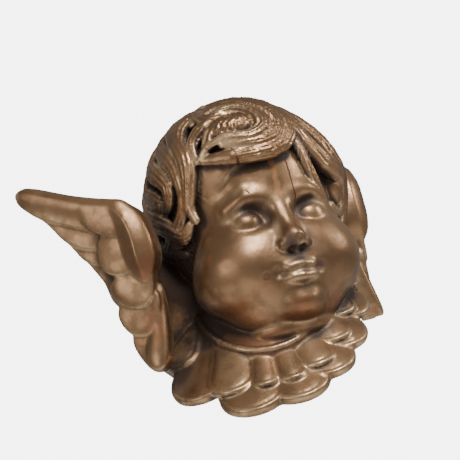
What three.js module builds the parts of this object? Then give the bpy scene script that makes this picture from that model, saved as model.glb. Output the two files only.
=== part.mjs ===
// A winged cherub's head: a baroque wall ornament, carved in wood and bronzed.
// Chubby child's head under thick wavy locks, turned a little to its own right, on a short
// neck in a ruff of rounded feathers, between two wings that sweep back to the wall.
// Units are millimetres. +Z is up, the face looks to -Y, and the wall is the plane Y = 0.
// The whole work is one carving: its forms are distance fields, joined and cut with soft
// edges, turned into one closed mesh and thinned to the faces that its shape needs.
import * as THREE from 'three';
import { edgeTable, triTable } from 'three/addons/objects/MarchingCubes.js';

// Driving sizes of the head
const HEAD_HEIGHT = 230; // under the chin to the top of the hair
const HEAD_FORWARD = 84; // wall to the middle of the head
const HEAD_RISE = 30; // middle of the wall face up to the line of the eyes
const HEAD_TURN = -15; // degrees, to the head's own right
const HEAD_NOD = -5; // degrees, looking up
// Driving sizes of the feather ruff, a tilted collar round the neck
const RUFF_FORWARD = 73; // wall to the middle of the ring that the feathers grow from
const RUFF_ASIDE = -1; // middle plane to the middle of that ring, to the carving's own right
const RUFF_RISE = -25; // middle of the wall face to the middle of that ring
const RUFF_RADIUS = 62; // of that ring, seen from above
const RUFF_SLOPE = 57; // how far the ring's front is below its middle
const RUFF_TURN = -37; // degrees, the low front of the collar turns with the head
const RUFF_REACH = 92; // radius at the feathers' tips, seen from above
const RUFF_DROP = 29; // how far the tips hang below their roots at the sides
const RUFF_FEATHER_THICK = 6;
// Driving sizes of the wings
const WING_OUT = 110.7; // middle between the wings to each wing's wrist
const WINGS_ASIDE = 2.5; // middle plane to the middle between the wings
const LEFT_WING_LIFT = 10; // how much higher the carving's own left wing stands
const WING_FORWARD = 90; // wall to each wing's wrist
const WING_RISE = 35; // middle of the wall face up to the right wing's wrist
const WING_SWEEP = 50; // degrees that the wings turn back towards the wall
const WING_LENGTH = 124; // wrist to tip
const WING_THICK = 9; // of one layer of feathers
const WRIST_SWELL = 13; // how much the rounded front edge swells
// The block behind, which is fixed to the wall
const BLOCK_WIDTH = 176;
const BLOCK_HEIGHT = 168;
const BLOCK_DEPTH = 62;
// Carving tools
const GRID = 3.6; // spacing of the first, fine mesh
const FACES = 9600; // triangles that are kept

const RAD = Math.PI / 180;
const FAR = 1e3;
const HEAD_PARTS = 235; // the head is laid out in parts, 235 to its height
const WING_PARTS = 118; // and the wing in parts, 118 to its length

// Joins two distances with a fillet of size k
function join(a, b, k) {
  const h = Math.max(k - Math.abs(a - b), 0) / k;
  return Math.min(a, b) - h * h * k * 0.25;
}

// Takes b out of a, with a rounded edge of size k
const cut = (a, b, k) => -join(-a, b, k);

const clamp = (t, low, high) => Math.min(Math.max(t, low), high);
const mix = (a, b, t) => a + (b - a) * t;

// A form is {mid, reach, at}: a ball that holds it, and its distance at a point.
function egg(mid, radii) {
  const [rx, ry, rz] = radii;
  return {
    mid,
    reach: Math.max(rx, ry, rz),
    at(x, y, z) {
      const [a, b, c] = [x - mid[0], y - mid[1], z - mid[2]];
      const k0 = Math.hypot(a / rx, b / ry, c / rz);
      const k1 = Math.hypot(a / rx / rx, b / ry / ry, c / rz / rz);
      return k1 < 1e-9 ? -Math.min(rx, ry, rz) : (k0 * (k0 - 1)) / k1;
    },
  };
}

const ball = (mid, radius) => egg(mid, [radius, radius, radius]);

// The part of a ball on one side of a plane through its middle, moved by offset along normal
function shell(mid, radius, normal, offset) {
  const n = new THREE.Vector3(...normal).normalize();
  const whole = ball(mid, radius);
  return {
    mid,
    reach: radius,
    at(x, y, z) {
      const side = (x - mid[0]) * n.x + (y - mid[1]) * n.y + (z - mid[2]) * n.z;
      return cut(whole.at(x, y, z), offset - side, 1);
    },
  };
}

// A rounded bar from a to b, whose radius goes from ra to rb
function limb(a, b, ra, rb) {
  const d = [b[0] - a[0], b[1] - a[1], b[2] - a[2]];
  const length2 = d[0] ** 2 + d[1] ** 2 + d[2] ** 2;
  return {
    mid: [0, 1, 2].map((i) => (a[i] + b[i]) / 2),
    reach: Math.sqrt(length2) / 2 + Math.max(ra, rb),
    at(x, y, z) {
      const [px, py, pz] = [x - a[0], y - a[1], z - a[2]];
      const t = clamp((px * d[0] + py * d[1] + pz * d[2]) / length2, 0, 1);
      return Math.hypot(px - t * d[0], py - t * d[1], pz - t * d[2]) - mix(ra, rb, t);
    },
  };
}

// Stops on a smooth path through some points, with a radius at each end and in the middle
function stopsOn(points, [start, middle, end], pieces) {
  const curve = new THREE.CatmullRomCurve3(points.map((p) => new THREE.Vector3(...p)));
  return Array.from({ length: pieces + 1 }, (_, i) => {
    const t = i / pieces;
    const radius = t < 0.5 ? mix(start, middle, 2 * t) : mix(middle, end, 2 * t - 1);
    return { place: curve.getPoint(t), radius };
  });
}

// A smooth roll or arm along such a path, as a list of bars
function roll(points, radii, pieces = 9) {
  const stops = stopsOn(points, radii, pieces);
  return stops.slice(1).map((b, i) => {
    const a = stops[i];
    return limb(a.place.toArray(), b.place.toArray(), a.radius, b.radius);
  });
}

// A lock of hair: a flat roll that follows a rounded head. middle is the middle of the head, and
// flat is the lock's thickness as a share of its width.
function ribbon(points, radii, middle, flat, pieces = 10) {
  const stops = stopsOn(points, radii, pieces);
  const centre = new THREE.Vector3(...middle);
  const parts = stops.slice(1).map((b, i) => {
    const a = stops[i];
    const step = b.place.clone().sub(a.place);
    const away = a.place.clone().add(b.place).multiplyScalar(0.5).sub(centre);
    away.addScaledVector(step, -away.dot(step) / step.lengthSq()).normalize();
    return { from: a.place, step, square: step.lengthSq(), away, ra: a.radius, rb: b.radius };
  });
  const box = new THREE.Box3().setFromPoints(stops.map((stop) => stop.place));
  const holder = box.getBoundingSphere(new THREE.Sphere());
  return {
    mid: holder.center.toArray(),
    reach: holder.radius + Math.max(...radii),
    at(x, y, z) {
      let best = FAR;
      for (const { from, step, square, away, ra, rb } of parts) {
        const [px, py, pz] = [x - from.x, y - from.y, z - from.z];
        const t = clamp((px * step.x + py * step.y + pz * step.z) / square, 0, 1);
        const [wx, wy, wz] = [px - t * step.x, py - t * step.y, pz - t * step.z];
        const radius = mix(ra, rb, t);
        const n = wx * away.x + wy * away.y + wz * away.z;
        const wide = Math.max(wx * wx + wy * wy + wz * wz - n * n, 0);
        const thin = flat * radius;
        const k0 = Math.sqrt(wide / radius ** 2 + (n / thin) ** 2);
        const k1 = Math.sqrt(wide / radius ** 4 + (n / thin ** 2) ** 2);
        best = Math.min(best, (k0 * (k0 - 1)) / Math.max(k1, 1e-6));
      }
      return best;
    },
  };
}

// What two distances have in common, with an edge rounded by a radius
function rounded(a, b, edge) {
  const [p, q] = [a + edge, b + edge];
  return Math.min(Math.max(p, q), 0) + Math.hypot(Math.max(p, 0), Math.max(q, 0)) - edge;
}

// A flat piece drawn in x and z by the corners of a smooth outline. Its front looks to -y and
// swells up from its edges over a width of fade. lean moves the front back along x and z.
function plate(outline, { front, back, swell, fade, lean = [0, 0], edge = 1.5 }) {
  let corners = outline;
  for (let round = 0; round < 2; round += 1) {
    corners = corners.flatMap((a, i) => {
      const b = corners[(i + 1) % corners.length];
      return [0.25, 0.75].map((t) => [mix(a[0], b[0], t), mix(a[1], b[1], t)]);
    });
  }
  const sides = corners.map((a, i) => [a, corners[(i + 1) % corners.length]]);
  const mean = (axis) => corners.reduce((sum, corner) => sum + corner[axis], 0) / corners.length;
  const middle = [mean(0), mean(1)];
  const wide = Math.max(...corners.map(([x, z]) => Math.hypot(x - middle[0], z - middle[1])));
  const steep = wide * (Math.abs(lean[0]) + Math.abs(lean[1]));
  const deep = (back - front + swell + steep) / 2;
  return {
    mid: [middle[0], back - deep, middle[1]],
    reach: Math.hypot(wide, deep),
    at(x, y, z) {
      let square = FAR ** 2;
      let inside = false;
      for (const [a, b] of sides) {
        const [ex, ez, wx, wz] = [b[0] - a[0], b[1] - a[1], x - a[0], z - a[1]];
        const t = clamp((wx * ex + wz * ez) / (ex * ex + ez * ez), 0, 1);
        square = Math.min(square, (wx - t * ex) ** 2 + (wz - t * ez) ** 2);
        const crosses = (wz < 0) !== (z - b[1] < 0);
        if (crosses && wx < (ex * wz) / ez) inside = !inside;
      }
      const flat = (inside ? -1 : 1) * Math.sqrt(square);
      const leaning = front + lean[0] * (x - middle[0]) + lean[1] * (z - middle[1]);
      const face = leaning - swell * (1 - Math.exp(Math.min(flat, 0) / fade));
      return rounded(flat, Math.max(face - y, y - back), edge) * 0.85;
    },
  };
}

// A rounded feather from its root to its tip: flat, domed across its width and curled along it.
// out is the side it shows.
function feather(root, tip, out, { width, neck, thick, dome, curl }) {
  const origin = new THREE.Vector3(...root);
  const along = new THREE.Vector3(...tip).sub(origin);
  const length = along.length();
  along.normalize();
  const side = new THREE.Vector3(...out).cross(along).normalize();
  const face = along.clone().cross(side).normalize();
  const straight = Math.max(length - width, 1);
  const edge = Math.min(3, thick / 2);
  return {
    mid: origin.clone().addScaledVector(along, length / 2).toArray(),
    reach: length / 2 + width + Math.abs(curl) + dome,
    at(x, y, z) {
      const [px, py, pz] = [x - root[0], y - root[1], z - root[2]];
      const l = px * along.x + py * along.y + pz * along.z;
      const w = px * side.x + py * side.y + pz * side.z;
      const n = px * face.x + py * face.y + pz * face.z;
      const t = clamp(l / straight, 0, 1);
      const outline = Math.hypot(l - t * straight, w) - mix(neck, width, t);
      const bow = dome * (1 - Math.min((w / width) ** 2, 1.6)) + curl * clamp(l / length, 0, 1.2) ** 2;
      return rounded(outline, Math.abs(n - bow) - thick / 2, edge) * 0.9;
    },
  };
}

// Steps of carving, in order: forms that are added, and forms that are taken away
const add = (form, soft = 2) => ({ ...form, soft, away: false });
const take = (form, soft = 2) => ({ ...form, soft, away: true });
const both = (steps) => steps.flatMap((make) => [make(-1), make(1)]);

// The head's flesh, in its own frame: the middle of the head on the line of the eyes is 0
function fleshSteps() {
  const eye = (s) => [s * 29, -52, -2];
  const mirrored = (s, points) => points.map(([x, y, z]) => [s * x, y, z]);
  return [
    add(egg([0, 16, 42], [69, 78, 70]), 8),
    add(egg([0, -22, 40], [62, 50, 50]), 20),
    add(egg([0, -22, -6], [64, 50, 66]), 14),
    add(egg([0, -14, -38], [72, 57, 46]), 16),
    ...both([(s) => add(egg([s * 33, -36, -36], [37, 36, 34]), 18)]),
    add(egg([0, -22, -74], [46, 40, 25]), 14),
    add(egg([0, -56, -50], [26, 19, 26]), 14),
    add(egg([0, -57.5, -75], [18, 16.5, 12.5]), 9),
    // folds of the double chin and the neck
    add(egg([0, -18, -92], [43, 38, 15]), 5),
    // sockets and eyes
    ...both([
      (s) => take(egg([s * 27, -84, 4], [20, 25, 13.5]), 9),
      (s) => take(ball([s * 14, -70, -1], 5), 8),
      (s) => add(ball(eye(s), 13.3), 1),
      (s) => add(shell(eye(s), 15.2, [0, 0.447, 0.894], -1.2), 2),
      (s) => add(shell(eye(s), 14.8, [0, 0.479, -0.878], 0.8), 3),
    ]),
    ...[-1, 1].flatMap((s) =>
      roll(mirrored(s, [[13, -66, 17], [28, -67.5, 19.5], [43, -57, 13]]), [2, 3.6, 2.4], 6)
        .map((piece) => add(piece, 12))),
    // nose
    add(limb([0, -64, 8], [0, -78, -20], 6, 7.6), 11),
    add(egg([0, -80, -25], [9, 8.6, 8]), 6),
    ...both([
      (s) => add(egg([s * 9.3, -75.5, -28], [6, 7.5, 5.6]), 3.5),
      (s) => take(egg([s * 4.6, -80, -34], [2.8, 4.6, 3.2]), 2),
    ]),
    take(egg([2, -93.5, -29], [8, 8, 7]), 1.5), // the broken tip
    // mouth
    ...[-1, 1].flatMap((s) => [
      ...roll(mirrored(s, [[16.5, -71.5, -51], [9.5, -76, -47.8], [3, -77.6, -46.5]]), [1.6, 3, 3.4], 6)
        .map((piece) => add(piece, 5)),
      ...roll(mirrored(s, [[14, -71.5, -53.5], [8, -75.5, -56], [0, -76.8, -57]]), [1.8, 3.6, 4], 6)
        .map((piece) => add(piece, 5)),
      ...roll(mirrored(s, [[18.5, -73.5, -50.5], [9, -80, -52], [0, -82, -51.2]]), [1, 1.3, 1.5], 6)
        .map((piece) => take(piece, 2)),
      take(ball([s * 19.5, -77, -50.5], 4), 6),
    ]),
    take(limb([0, -84, -36], [0, -87, -42], 2, 2.6), 4),
    take(limb([-6, -81, -65.5], [6, -81, -65.5], 3.2, 3.2), 7),
  ];
}

// The hair's ellipsoid, in the head's frame
const HAIR_MIDDLE = [-5, 12, 50];
const HAIR_RADII = [74, 88, 72];

// A point on the hair, by its angle round from the face, its height angle, and its lift.
// Below the middle the hair hangs nearly straight down.
function onHair(round, up, lift) {
  const [a, b] = [round * RAD, up * RAD];
  const [rx, ry, rz] = HAIR_RADII.map((r) => r + lift);
  const [wide, high] = up > 0 ? [Math.cos(b), Math.sin(b)] : [1 - 0.12 * b * b, b];
  const [x0, y0, z0] = HAIR_MIDDLE;
  return [x0 + rx * Math.sin(a) * wide, y0 - ry * Math.cos(a) * wide, z0 + rz * high];
}

// A lock through places on the hair: each an angle round, an angle up, and what it lifts more
function lock(route, radii, lift, flat = 0.7) {
  const points = route.map(([round, up, more = 0]) => onHair(round, up, lift + more));
  return add(ribbon(points, radii, HAIR_MIDDLE, flat), 1.5);
}

// Strands of the forelock, from the outer one to the curl's eye, by degrees round and up
const FORELOCK = [
  { route: [[-44, 66], [-22, 66], [4, 60], [18, 46], [22, 30], [20, 15], [10, 5], [-8, 2], [-26, 4],
    [-38, 7]],
    radii: [6, 11, 5], lift: 4.5 },
  { route: [[-42, 38], [-22, 47], [-2, 43], [9, 33], [13, 21], [7, 11], [-8, 9], [-24, 12]],
    radii: [5, 9, 4], lift: 7 },
  { route: [[-31, 32], [-17, 39], [-4, 35], [3, 26], [-2, 17], [-12, 16], [-18, 22], [-12, 27]],
    radii: [4, 6.5, 3], lift: 9 },
  { route: [[-16, 31], [-28, 33], [-37, 28], [-43, 20], [-42, 7]],
    radii: [4, 7, 3], lift: 6 },
  { route: [[-22, 53], [-44, 48], [-54, 37], [-52, 24], [-45, 10]],
    radii: [5, 9, 4], lift: 5 },
  { route: [[-20, 26], [-30, 23], [-33, 15], [-39, 8]],
    radii: [3, 6, 2.5], lift: 7 },
];
// Locks that frame the face on its own right
const RIGHT_LOCKS = [
  { route: [[-40, 78], [-62, 66], [-72, 50], [-59, 32], [-50, 15], [-49, 2], [-52, -9], [-55, -18],
    [-53, -27]],
    radii: [6, 9, 4], lift: 4.5 },
  { route: [[-66, 68], [-82, 54], [-80, 38], [-64, 20], [-58, 8], [-57, -6], [-62, -19]],
    radii: [6, 10, 4], lift: 3 },
];
// Locks that frame the face on its own left, with what each place lifts more
const LEFT_LOCKS = [
  { route: [[26, 42], [33, 24], [34, 8, 3], [42, -6, 9], [58, -10, 13], [68, -22, 11], [62, -34, 7],
    [52, -31, 4]],
    radii: [6, 10, 4], lift: 3.5 },
  { route: [[28, 62], [46, 42], [56, 20, 4], [61, 4, 9], [68, -10, 13], [76, -26, 12], [72, -40, 6],
    [62, -46]],
    radii: [7, 12, 4.5], lift: 4 },
  { route: [[23, 16], [27, 3], [31, -11], [38, -24], [47, -35], [58, -43]],
    radii: [4, 6, 3], lift: 4 },
  { route: [[6, 80], [36, 66], [64, 46, 3], [74, 24, 6], [78, 4, 8], [86, -14, 6]],
    radii: [6, 12, 5], lift: 2.5 },
  { route: [[40, 76], [70, 66], [92, 46], [88, 26], [78, 10], [84, -4]],
    radii: [7, 11, 4], lift: 2 },
];
// Locks of both sides, for the carving's own left
const SIDE_LOCKS = [
  { route: [[80, 60], [93, 42], [90, 26], [75, 13, 1], [67, 1], [73, -10], [92, -6]],
    radii: [6, 10, 3], lift: 3.5 },
  { route: [[94, 44], [104, 28], [98, 10], [80, -4], [88, -16], [106, -12]],
    radii: [6, 10, 3], lift: 2.5 },
  { route: [[112, 24], [108, 8], [94, -8], [78, -23], [66, -33], [58, -28]],
    radii: [7, 11, 4], lift: 4 },
  { route: [[60, -16], [70, -28], [86, -34], [100, -28]],
    radii: [6, 9, 4], lift: 2 },
  { route: [[124, 4], [118, -12], [104, -26], [86, -38], [72, -44]],
    radii: [6, 11, 4], lift: 1.5 },
];

function hairSteps() {
  const steps = [
    add(egg([-5.5, 12, 50], [74, 88, 72]), 4),
    add(egg([-4, 20, 6], [73, 79, 62]), 12),
    take(egg([0, -72, -22], [64, 62, 75]), 5),
    add(egg([-15, -57, 79], [31, 22, 17]), 6),
    add(egg(onHair(66, -14, 2), [15, 22, 26]), 10),
  ];
  // tiers of wavy locks round the back, each staggered against the next: their upper and lower ends
  const tiers = [[-6, -46], [24, -14], [52, 14], [80, 44]];
  const sway = [0, 9, -3, -7, 4];
  for (const side of [-1, 1]) {
    tiers.forEach(([top, low], tier) => {
      for (let round = 104 + 12 * (tier % 2); round < 192; round += 24) {
        const route = sway.map((aside, i) => [side * (round + aside), mix(top, low, i / 4)]);
        steps.push(lock(route, [8, 13, 4], 0.5 + 1.5 * (tier % 2), 0.6));
      }
    });
    for (const { route, radii, lift } of SIDE_LOCKS) {
      steps.push(lock(route.map(([round, ...rest]) => [side * round, ...rest]), radii, lift));
    }
  }
  for (const { route, radii, lift } of [...RIGHT_LOCKS, ...LEFT_LOCKS, ...FORELOCK]) {
    steps.push(lock(route, radii, lift, 0.75));
  }
  steps.push(add(ball(onHair(-9, 27, 8), 4), 2));
  return steps;
}

// One feather of the ruff, by its root's and its tip's angle round from the collar's low front
// and the share of the way out where its tip is
function petal([rootRound, tipRound, width, share], lift, thick) {
  const place = (part, round) => {
    const a = round * RAD;
    const radius = mix(RUFF_RADIUS, RUFF_REACH, part);
    return [
      radius * Math.sin(a),
      -radius * Math.cos(a),
      lift - RUFF_DROP * part - RUFF_SLOPE * Math.cos(a) * mix(1, 1.12, part),
    ];
  };
  const [root, tip] = [place(-0.3, rootRound), place(share, tipRound)];
  const middle = ((rootRound + tipRound) / 2) * RAD;
  const rise = (RUFF_SLOPE / RUFF_RADIUS) * Math.sin(middle);
  const ringward = new THREE.Vector3(Math.cos(middle), Math.sin(middle), rise);
  const outward = new THREE.Vector3(...tip).sub(new THREE.Vector3(...root)).cross(ringward);
  const out = outward.normalize().toArray();
  return feather(root, tip, out, { width, neck: width * 0.85, thick, dome: 5, curl: 3 });
}

// Root and tip in degrees, half the width and the share of the way out, feather by feather
const RUFF_BELOW = [
  [-150, -142, 25, 1], [-128, -112, 25, 1], [-106, -82, 25, 1.05], [-66, -47, 29, 1.07],
  [-22, -15, 29, 1.07], [10, 10, 27, 0.98], [33, 33, 25, 0.85], [55, 53, 24, 0.72], [78, 76, 25, 0.63],
  [104, 104, 24, 0.66], [132, 132, 26, 0.8],
];
const RUFF_ABOVE = [
  [-144, -134, 20, 0.6], [-124, -102, 20, 0.66], [-98, -64, 18, 0.82], [-37, -27, 21, 0.86],
  [-10, -8, 13, 0.68], [7, 8, 14, 0.68], [26, 26, 18, 0.66], [46, 46, 17, 0.52], [66, 66, 17, 0.4],
  [94, 94, 20, 0.36], [126, 126, 20, 0.4],
];

function ruffSteps() {
  return [
    ...RUFF_BELOW.map((row) => add(petal(row, -3, RUFF_FEATHER_THICK * 1.6), 2)),
    ...RUFF_ABOVE.map((row) => add(petal(row, 3, RUFF_FEATHER_THICK * 1.3), 2)),
  ];
}

// The neck and the collar's body under the feathers, in the frame of the tilted ring
function neckSteps() {
  const long = Math.hypot(RUFF_RADIUS, RUFF_SLOPE) / RUFF_RADIUS;
  return [
    add(egg([0, 16, -28], [RUFF_REACH - 24, (RUFF_REACH - 18) * 1.22, 24]), 6),
    add(egg([0, 0, -4], [RUFF_RADIUS, RUFF_RADIUS * long, 22]), 8),
    add(egg([0, 1, 9], [RUFF_RADIUS + 1, (RUFF_RADIUS + 1) * long, 15]), 1.5),
  ];
}

// The wing is drawn in its own frame: x runs out from the wrist, z up, and the side that shows is -y.
// Long feathers, from the lowest layer to the one along the upper edge
const LONG_FEATHERS = [
  {
    outline: [[8, 34], [36, 44], [73, 58], [96, 70], [110, 69], [104, 55], [89, 44], [70, 17],
      [60, 0], [52, -14], [46, -26], [30, -32], [8, -28]],
    front: 8.6, swell: 1, fade: 4, lean: [0.05, 0],
  },
  {
    outline: [[8, 34], [36, 44], [73, 58], [96, 70], [110, 69], [104, 55], [89, 44], [72, 19],
      [60, -2], [34, -8], [8, -20]],
    front: 6.2, swell: 1, fade: 4, lean: [0.05, 0],
  },
  {
    outline: [[8, 34], [36, 44], [73, 58], [96, 70], [110, 69], [104, 55], [89, 44], [71, 15],
      [40, 4], [8, -10]],
    front: 3.8, swell: 1, fade: 4, lean: [0.05, 0],
  },
  {
    outline: [[8, 34], [36, 44], [73, 58], [96, 70], [111, 71], [105, 57], [90, 43], [64, 30],
      [36, 16], [8, 0]],
    front: 1.4, swell: 1, fade: 4, lean: [0.05, 0],
  },
];
// Short feathers over their roots and below the wrist
const COVERTS = [
  {
    outline: [[8, -52], [32, -58], [37, -70], [31, -86], [23, -97], [14, -97], [9, -80]],
    front: 5.4, swell: 1.6, fade: 5, lean: [0, 0],
  },
  {
    outline: [[2, -30], [34, -32], [43, -44], [41, -56], [32, -67], [12, -68]],
    front: 3, swell: 1.6, fade: 5, lean: [0, 0],
  },
  {
    outline: [[4, -12], [32, -13], [42, -22], [40, -34], [31, -45], [10, -46]],
    front: 0.4, swell: 1.6, fade: 5, lean: [0.05, 0],
  },
  {
    outline: [[10, 24], [38, 22], [48, 10], [48, -6], [40, -16], [24, -19], [8, -10]],
    front: -1.6, swell: 1.6, fade: 5, lean: [0.08, 0],
  },
  {
    outline: [[14, 34], [38, 44], [54, 48], [56, 36], [50, 24], [34, 13], [12, 10]],
    front: -3.2, swell: 1.6, fade: 5, lean: [0.08, 0],
  },
  {
    outline: [[6, -24], [14, -42], [20, -62], [27, -84], [21, -96], [11, -96], [6, -84], [3, -44]],
    front: 4, swell: 3, fade: 4, lean: [0, 0.2],
  },
];
// The rounded front edge at the wrist
const BULGE = [[10, 33], [21, 40], [31, 39], [29, 26], [26, 10], [26, -5], [22, -18], [13, -29],
  [5, -22], [0, -9], [0, 6], [4, 23]];

function wingSteps() {
  const steps = LONG_FEATHERS.map(({ outline, ...shape }) =>
    add(plate(outline, { ...shape, back: shape.front + WING_THICK }), 1.5));
  const upper = [[24, 2, 35], [40, 4, 40], [62, 6, 49], [84, 8, 60], [100, 9, 67]];
  steps.push(...roll(upper, [6, 5, 5]).map((piece) => add(piece, 10)));
  for (const { outline, ...shape } of COVERTS) {
    steps.push(add(plate(outline, { ...shape, back: shape.front + 1.4 * WING_THICK }), 1.5));
  }
  steps.push(add(plate(BULGE, { front: -1, back: 2 * WING_THICK, swell: WRIST_SWELL, fade: 11 }), 3));
  return steps;
}

// What joins wings, neck and head to the wall
function blockSteps() {
  return [
    add(egg([0, -8, -14], [BLOCK_WIDTH / 2, BLOCK_DEPTH, BLOCK_HEIGHT / 2]), 10),
    add(egg([0, -HEAD_FORWARD * 0.6, HEAD_RISE + 42], [68, 70, 62]), 12),
    ...both([
      (s) => add(egg([s * 60, -18, -10], [42, 32, 56]), 14),
      (s) => {
        const wing = [WINGS_ASIDE + s * (WING_OUT + 10), -WING_FORWARD + 38, 6];
        return add(limb([s * 66, -22, -8], wing, 28, 16), 14);
      },
    ]),
  ];
}

// A frame: where it stands, how it is turned in degrees, and how large one of its parts is
function frame({ origin = [0, 0, 0], turn = 0, nod = 0, part = 1, mirror = false }) {
  const place = new THREE.Matrix4().makeTranslation(...origin);
  place.multiply(new THREE.Matrix4().makeRotationZ(turn * RAD));
  place.multiply(new THREE.Matrix4().makeRotationX(nod * RAD));
  place.multiply(new THREE.Matrix4().makeScale(part, part, part));
  const m = place.invert().elements;
  const flip = mirror ? -1 : 1;
  const local = (x, y, z) => [
    m[0] * flip * x + m[4] * y + m[8] * z + m[12],
    m[1] * flip * x + m[5] * y + m[9] * z + m[13],
    m[2] * flip * x + m[6] * y + m[10] * z + m[14],
  ];
  return { local, part };
}

const headFrame = frame({
  origin: [0, -HEAD_FORWARD, HEAD_RISE],
  turn: HEAD_TURN,
  nod: HEAD_NOD,
  part: HEAD_HEIGHT / HEAD_PARTS,
});
const ruffFrame = frame({ origin: [RUFF_ASIDE, -RUFF_FORWARD, RUFF_RISE], turn: RUFF_TURN });
const neckFrame = frame({
  origin: [RUFF_ASIDE, -RUFF_FORWARD, RUFF_RISE],
  turn: RUFF_TURN,
  nod: Math.atan2(RUFF_SLOPE, RUFF_RADIUS) / RAD,
});
const wingFrame = (side) => frame({
  origin: [WING_OUT + side * WINGS_ASIDE, -WING_FORWARD, WING_RISE + (side > 0 ? LEFT_WING_LIFT : 0)],
  turn: WING_SWEEP,
  part: WING_LENGTH / WING_PARTS,
  mirror: side < 0,
});

const groups = [
  { ...frame({}), steps: blockSteps(), soft: 1 },
  { ...wingFrame(-1), steps: wingSteps(), soft: 6 },
  { ...wingFrame(1), steps: wingSteps(), soft: 6 },
  { ...ruffFrame, steps: ruffSteps(), soft: 2 },
  { ...neckFrame, steps: neckSteps(), soft: 1.5 },
  { ...headFrame, steps: fleshSteps(), soft: 2 },
  { ...headFrame, steps: hairSteps(), soft: 1.5 },
];

// The carving's distance at a point, from the steps that reach it
function distance(active, x, y, z) {
  let d = FAR;
  for (const { local, part, steps, soft } of active) {
    const [a, b, c] = local(x, y, z);
    let own = FAR;
    for (const step of steps) {
      own = step.away ? cut(own, step.at(a, b, c), step.soft) : join(own, step.at(a, b, c), step.soft);
    }
    d = join(d, own * part, soft);
  }
  return Math.max(d, y); // the wall
}

// The steps that can reach a ball round a point
function within(x, y, z, radius) {
  return groups
    .map((group) => {
      const [a, b, c] = group.local(x, y, z);
      const room = radius / group.part;
      const reached = ({ mid, reach, soft }) =>
        Math.hypot(a - mid[0], b - mid[1], c - mid[2]) < reach + soft + group.soft + room;
      return { ...group, steps: group.steps.filter(reached) };
    })
    .filter((group) => group.steps.length);
}

// Distances on a grid, block by block. Blocks far from the surface keep their middle's value.
function sampled(low, counts, step) {
  const [nx, ny, nz] = counts;
  const values = new Float64Array(nx * ny * nz);
  const size = 8;
  const radius = (size * step * Math.sqrt(3)) / 2;
  for (let k0 = 0; k0 < nz; k0 += size) {
    for (let j0 = 0; j0 < ny; j0 += size) {
      for (let i0 = 0; i0 < nx; i0 += size) {
        const mid = [i0, j0, k0].map((n, axis) => low[axis] + (n + size / 2) * step);
        const active = within(...mid, radius + 2 * step);
        const middle = distance(active, ...mid);
        const whole = middle < -2.2 * radius || middle > 2.2 * radius;
        for (let k = k0; k < Math.min(k0 + size, nz); k += 1) {
          for (let j = j0; j < Math.min(j0 + size, ny); j += 1) {
            for (let i = i0; i < Math.min(i0 + size, nx); i += 1) {
              const point = [low[0] + i * step, low[1] + j * step, low[2] + k * step];
              values[(k * ny + j) * nx + i] = whole ? middle : distance(active, ...point);
            }
          }
        }
      }
    }
  }
  return values;
}

// Cube corners and edges, in the order of the marching cubes tables
const CORNERS = [[0, 0, 0], [1, 0, 0], [1, 1, 0], [0, 1, 0], [0, 0, 1], [1, 0, 1], [1, 1, 1], [0, 1, 1]];
const EDGES = [
  [0, 1], [1, 2], [3, 2], [0, 3], [4, 5], [5, 6], [7, 6], [4, 7], [0, 4], [1, 5], [2, 6], [3, 7],
];

// A closed mesh where the distance is nought: {points, faces}
function meshed(values, low, counts, step) {
  const [nx, ny, nz] = counts;
  const points = [];
  const faces = [];
  const known = new Map();
  const index = (i, j, k) => (k * ny + j) * nx + i;
  const pointOn = (cell, edge) => {
    const [a, b] = EDGES[edge].map((corner) => CORNERS[corner].map((c, axis) => c + cell[axis]));
    const key = index(...a) * 3 + (a[0] !== b[0] ? 0 : a[1] !== b[1] ? 1 : 2);
    if (!known.has(key)) {
      const [va, vb] = [values[index(...a)], values[index(...b)]];
      const t = clamp(va / (va - vb), 0.02, 0.98);
      known.set(key, points.length);
      points.push(a.map((c, axis) => low[axis] + step * mix(c, b[axis], t)));
    }
    return known.get(key);
  };
  for (let k = 0; k < nz - 1; k += 1) {
    for (let j = 0; j < ny - 1; j += 1) {
      for (let i = 0; i < nx - 1; i += 1) {
        let code = 0;
        CORNERS.forEach(([a, b, c], bit) => {
          if (values[index(i + a, j + b, k + c)] < 0) code |= 1 << bit;
        });
        if (!edgeTable[code]) continue;
        for (let t = code * 16; triTable[t] !== -1; t += 3) {
          faces.push([0, 1, 2].map((n) => pointOn([i, j, k], triTable[t + n])));
        }
      }
    }
  }
  return { points, faces };
}

// Keeps the largest connected piece, so that no chip floats beside it
function largest({ points, faces }) {
  const parent = points.map((_, i) => i);
  const find = (i) => {
    while (parent[i] !== i) {
      parent[i] = parent[parent[i]];
      i = parent[i];
    }
    return i;
  };
  for (const [a, b, c] of faces) {
    parent[find(a)] = find(b);
    parent[find(b)] = find(c);
  }
  const tally = new Map();
  for (const [a] of faces) tally.set(find(a), (tally.get(find(a)) ?? 0) + 1);
  const [main] = [...tally].reduce((best, entry) => (entry[1] > best[1] ? entry : best));
  return { points, faces: faces.filter(([a]) => find(a) === main) };
}

// Error of a plane, as the ten numbers of a symmetric matrix
function planeError([a, b, c], [p, q, r]) {
  const normal = new THREE.Vector3(q[0] - p[0], q[1] - p[1], q[2] - p[2])
    .cross(new THREE.Vector3(r[0] - p[0], r[1] - p[1], r[2] - p[2]));
  const area = normal.length() || 1e-12;
  normal.divideScalar(area);
  const { x, y, z } = normal;
  const w = -(x * p[0] + y * p[1] + z * p[2]);
  return [x * x, x * y, x * z, x * w, y * y, y * z, y * w, z * z, z * w, w * w].map((v) => v * area);
}

function errorAt(q, [x, y, z]) {
  return q[0] * x * x + 2 * q[1] * x * y + 2 * q[2] * x * z + 2 * q[3] * x + q[4] * y * y
    + 2 * q[5] * y * z + 2 * q[6] * y + q[7] * z * z + 2 * q[8] * z + q[9];
}

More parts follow.
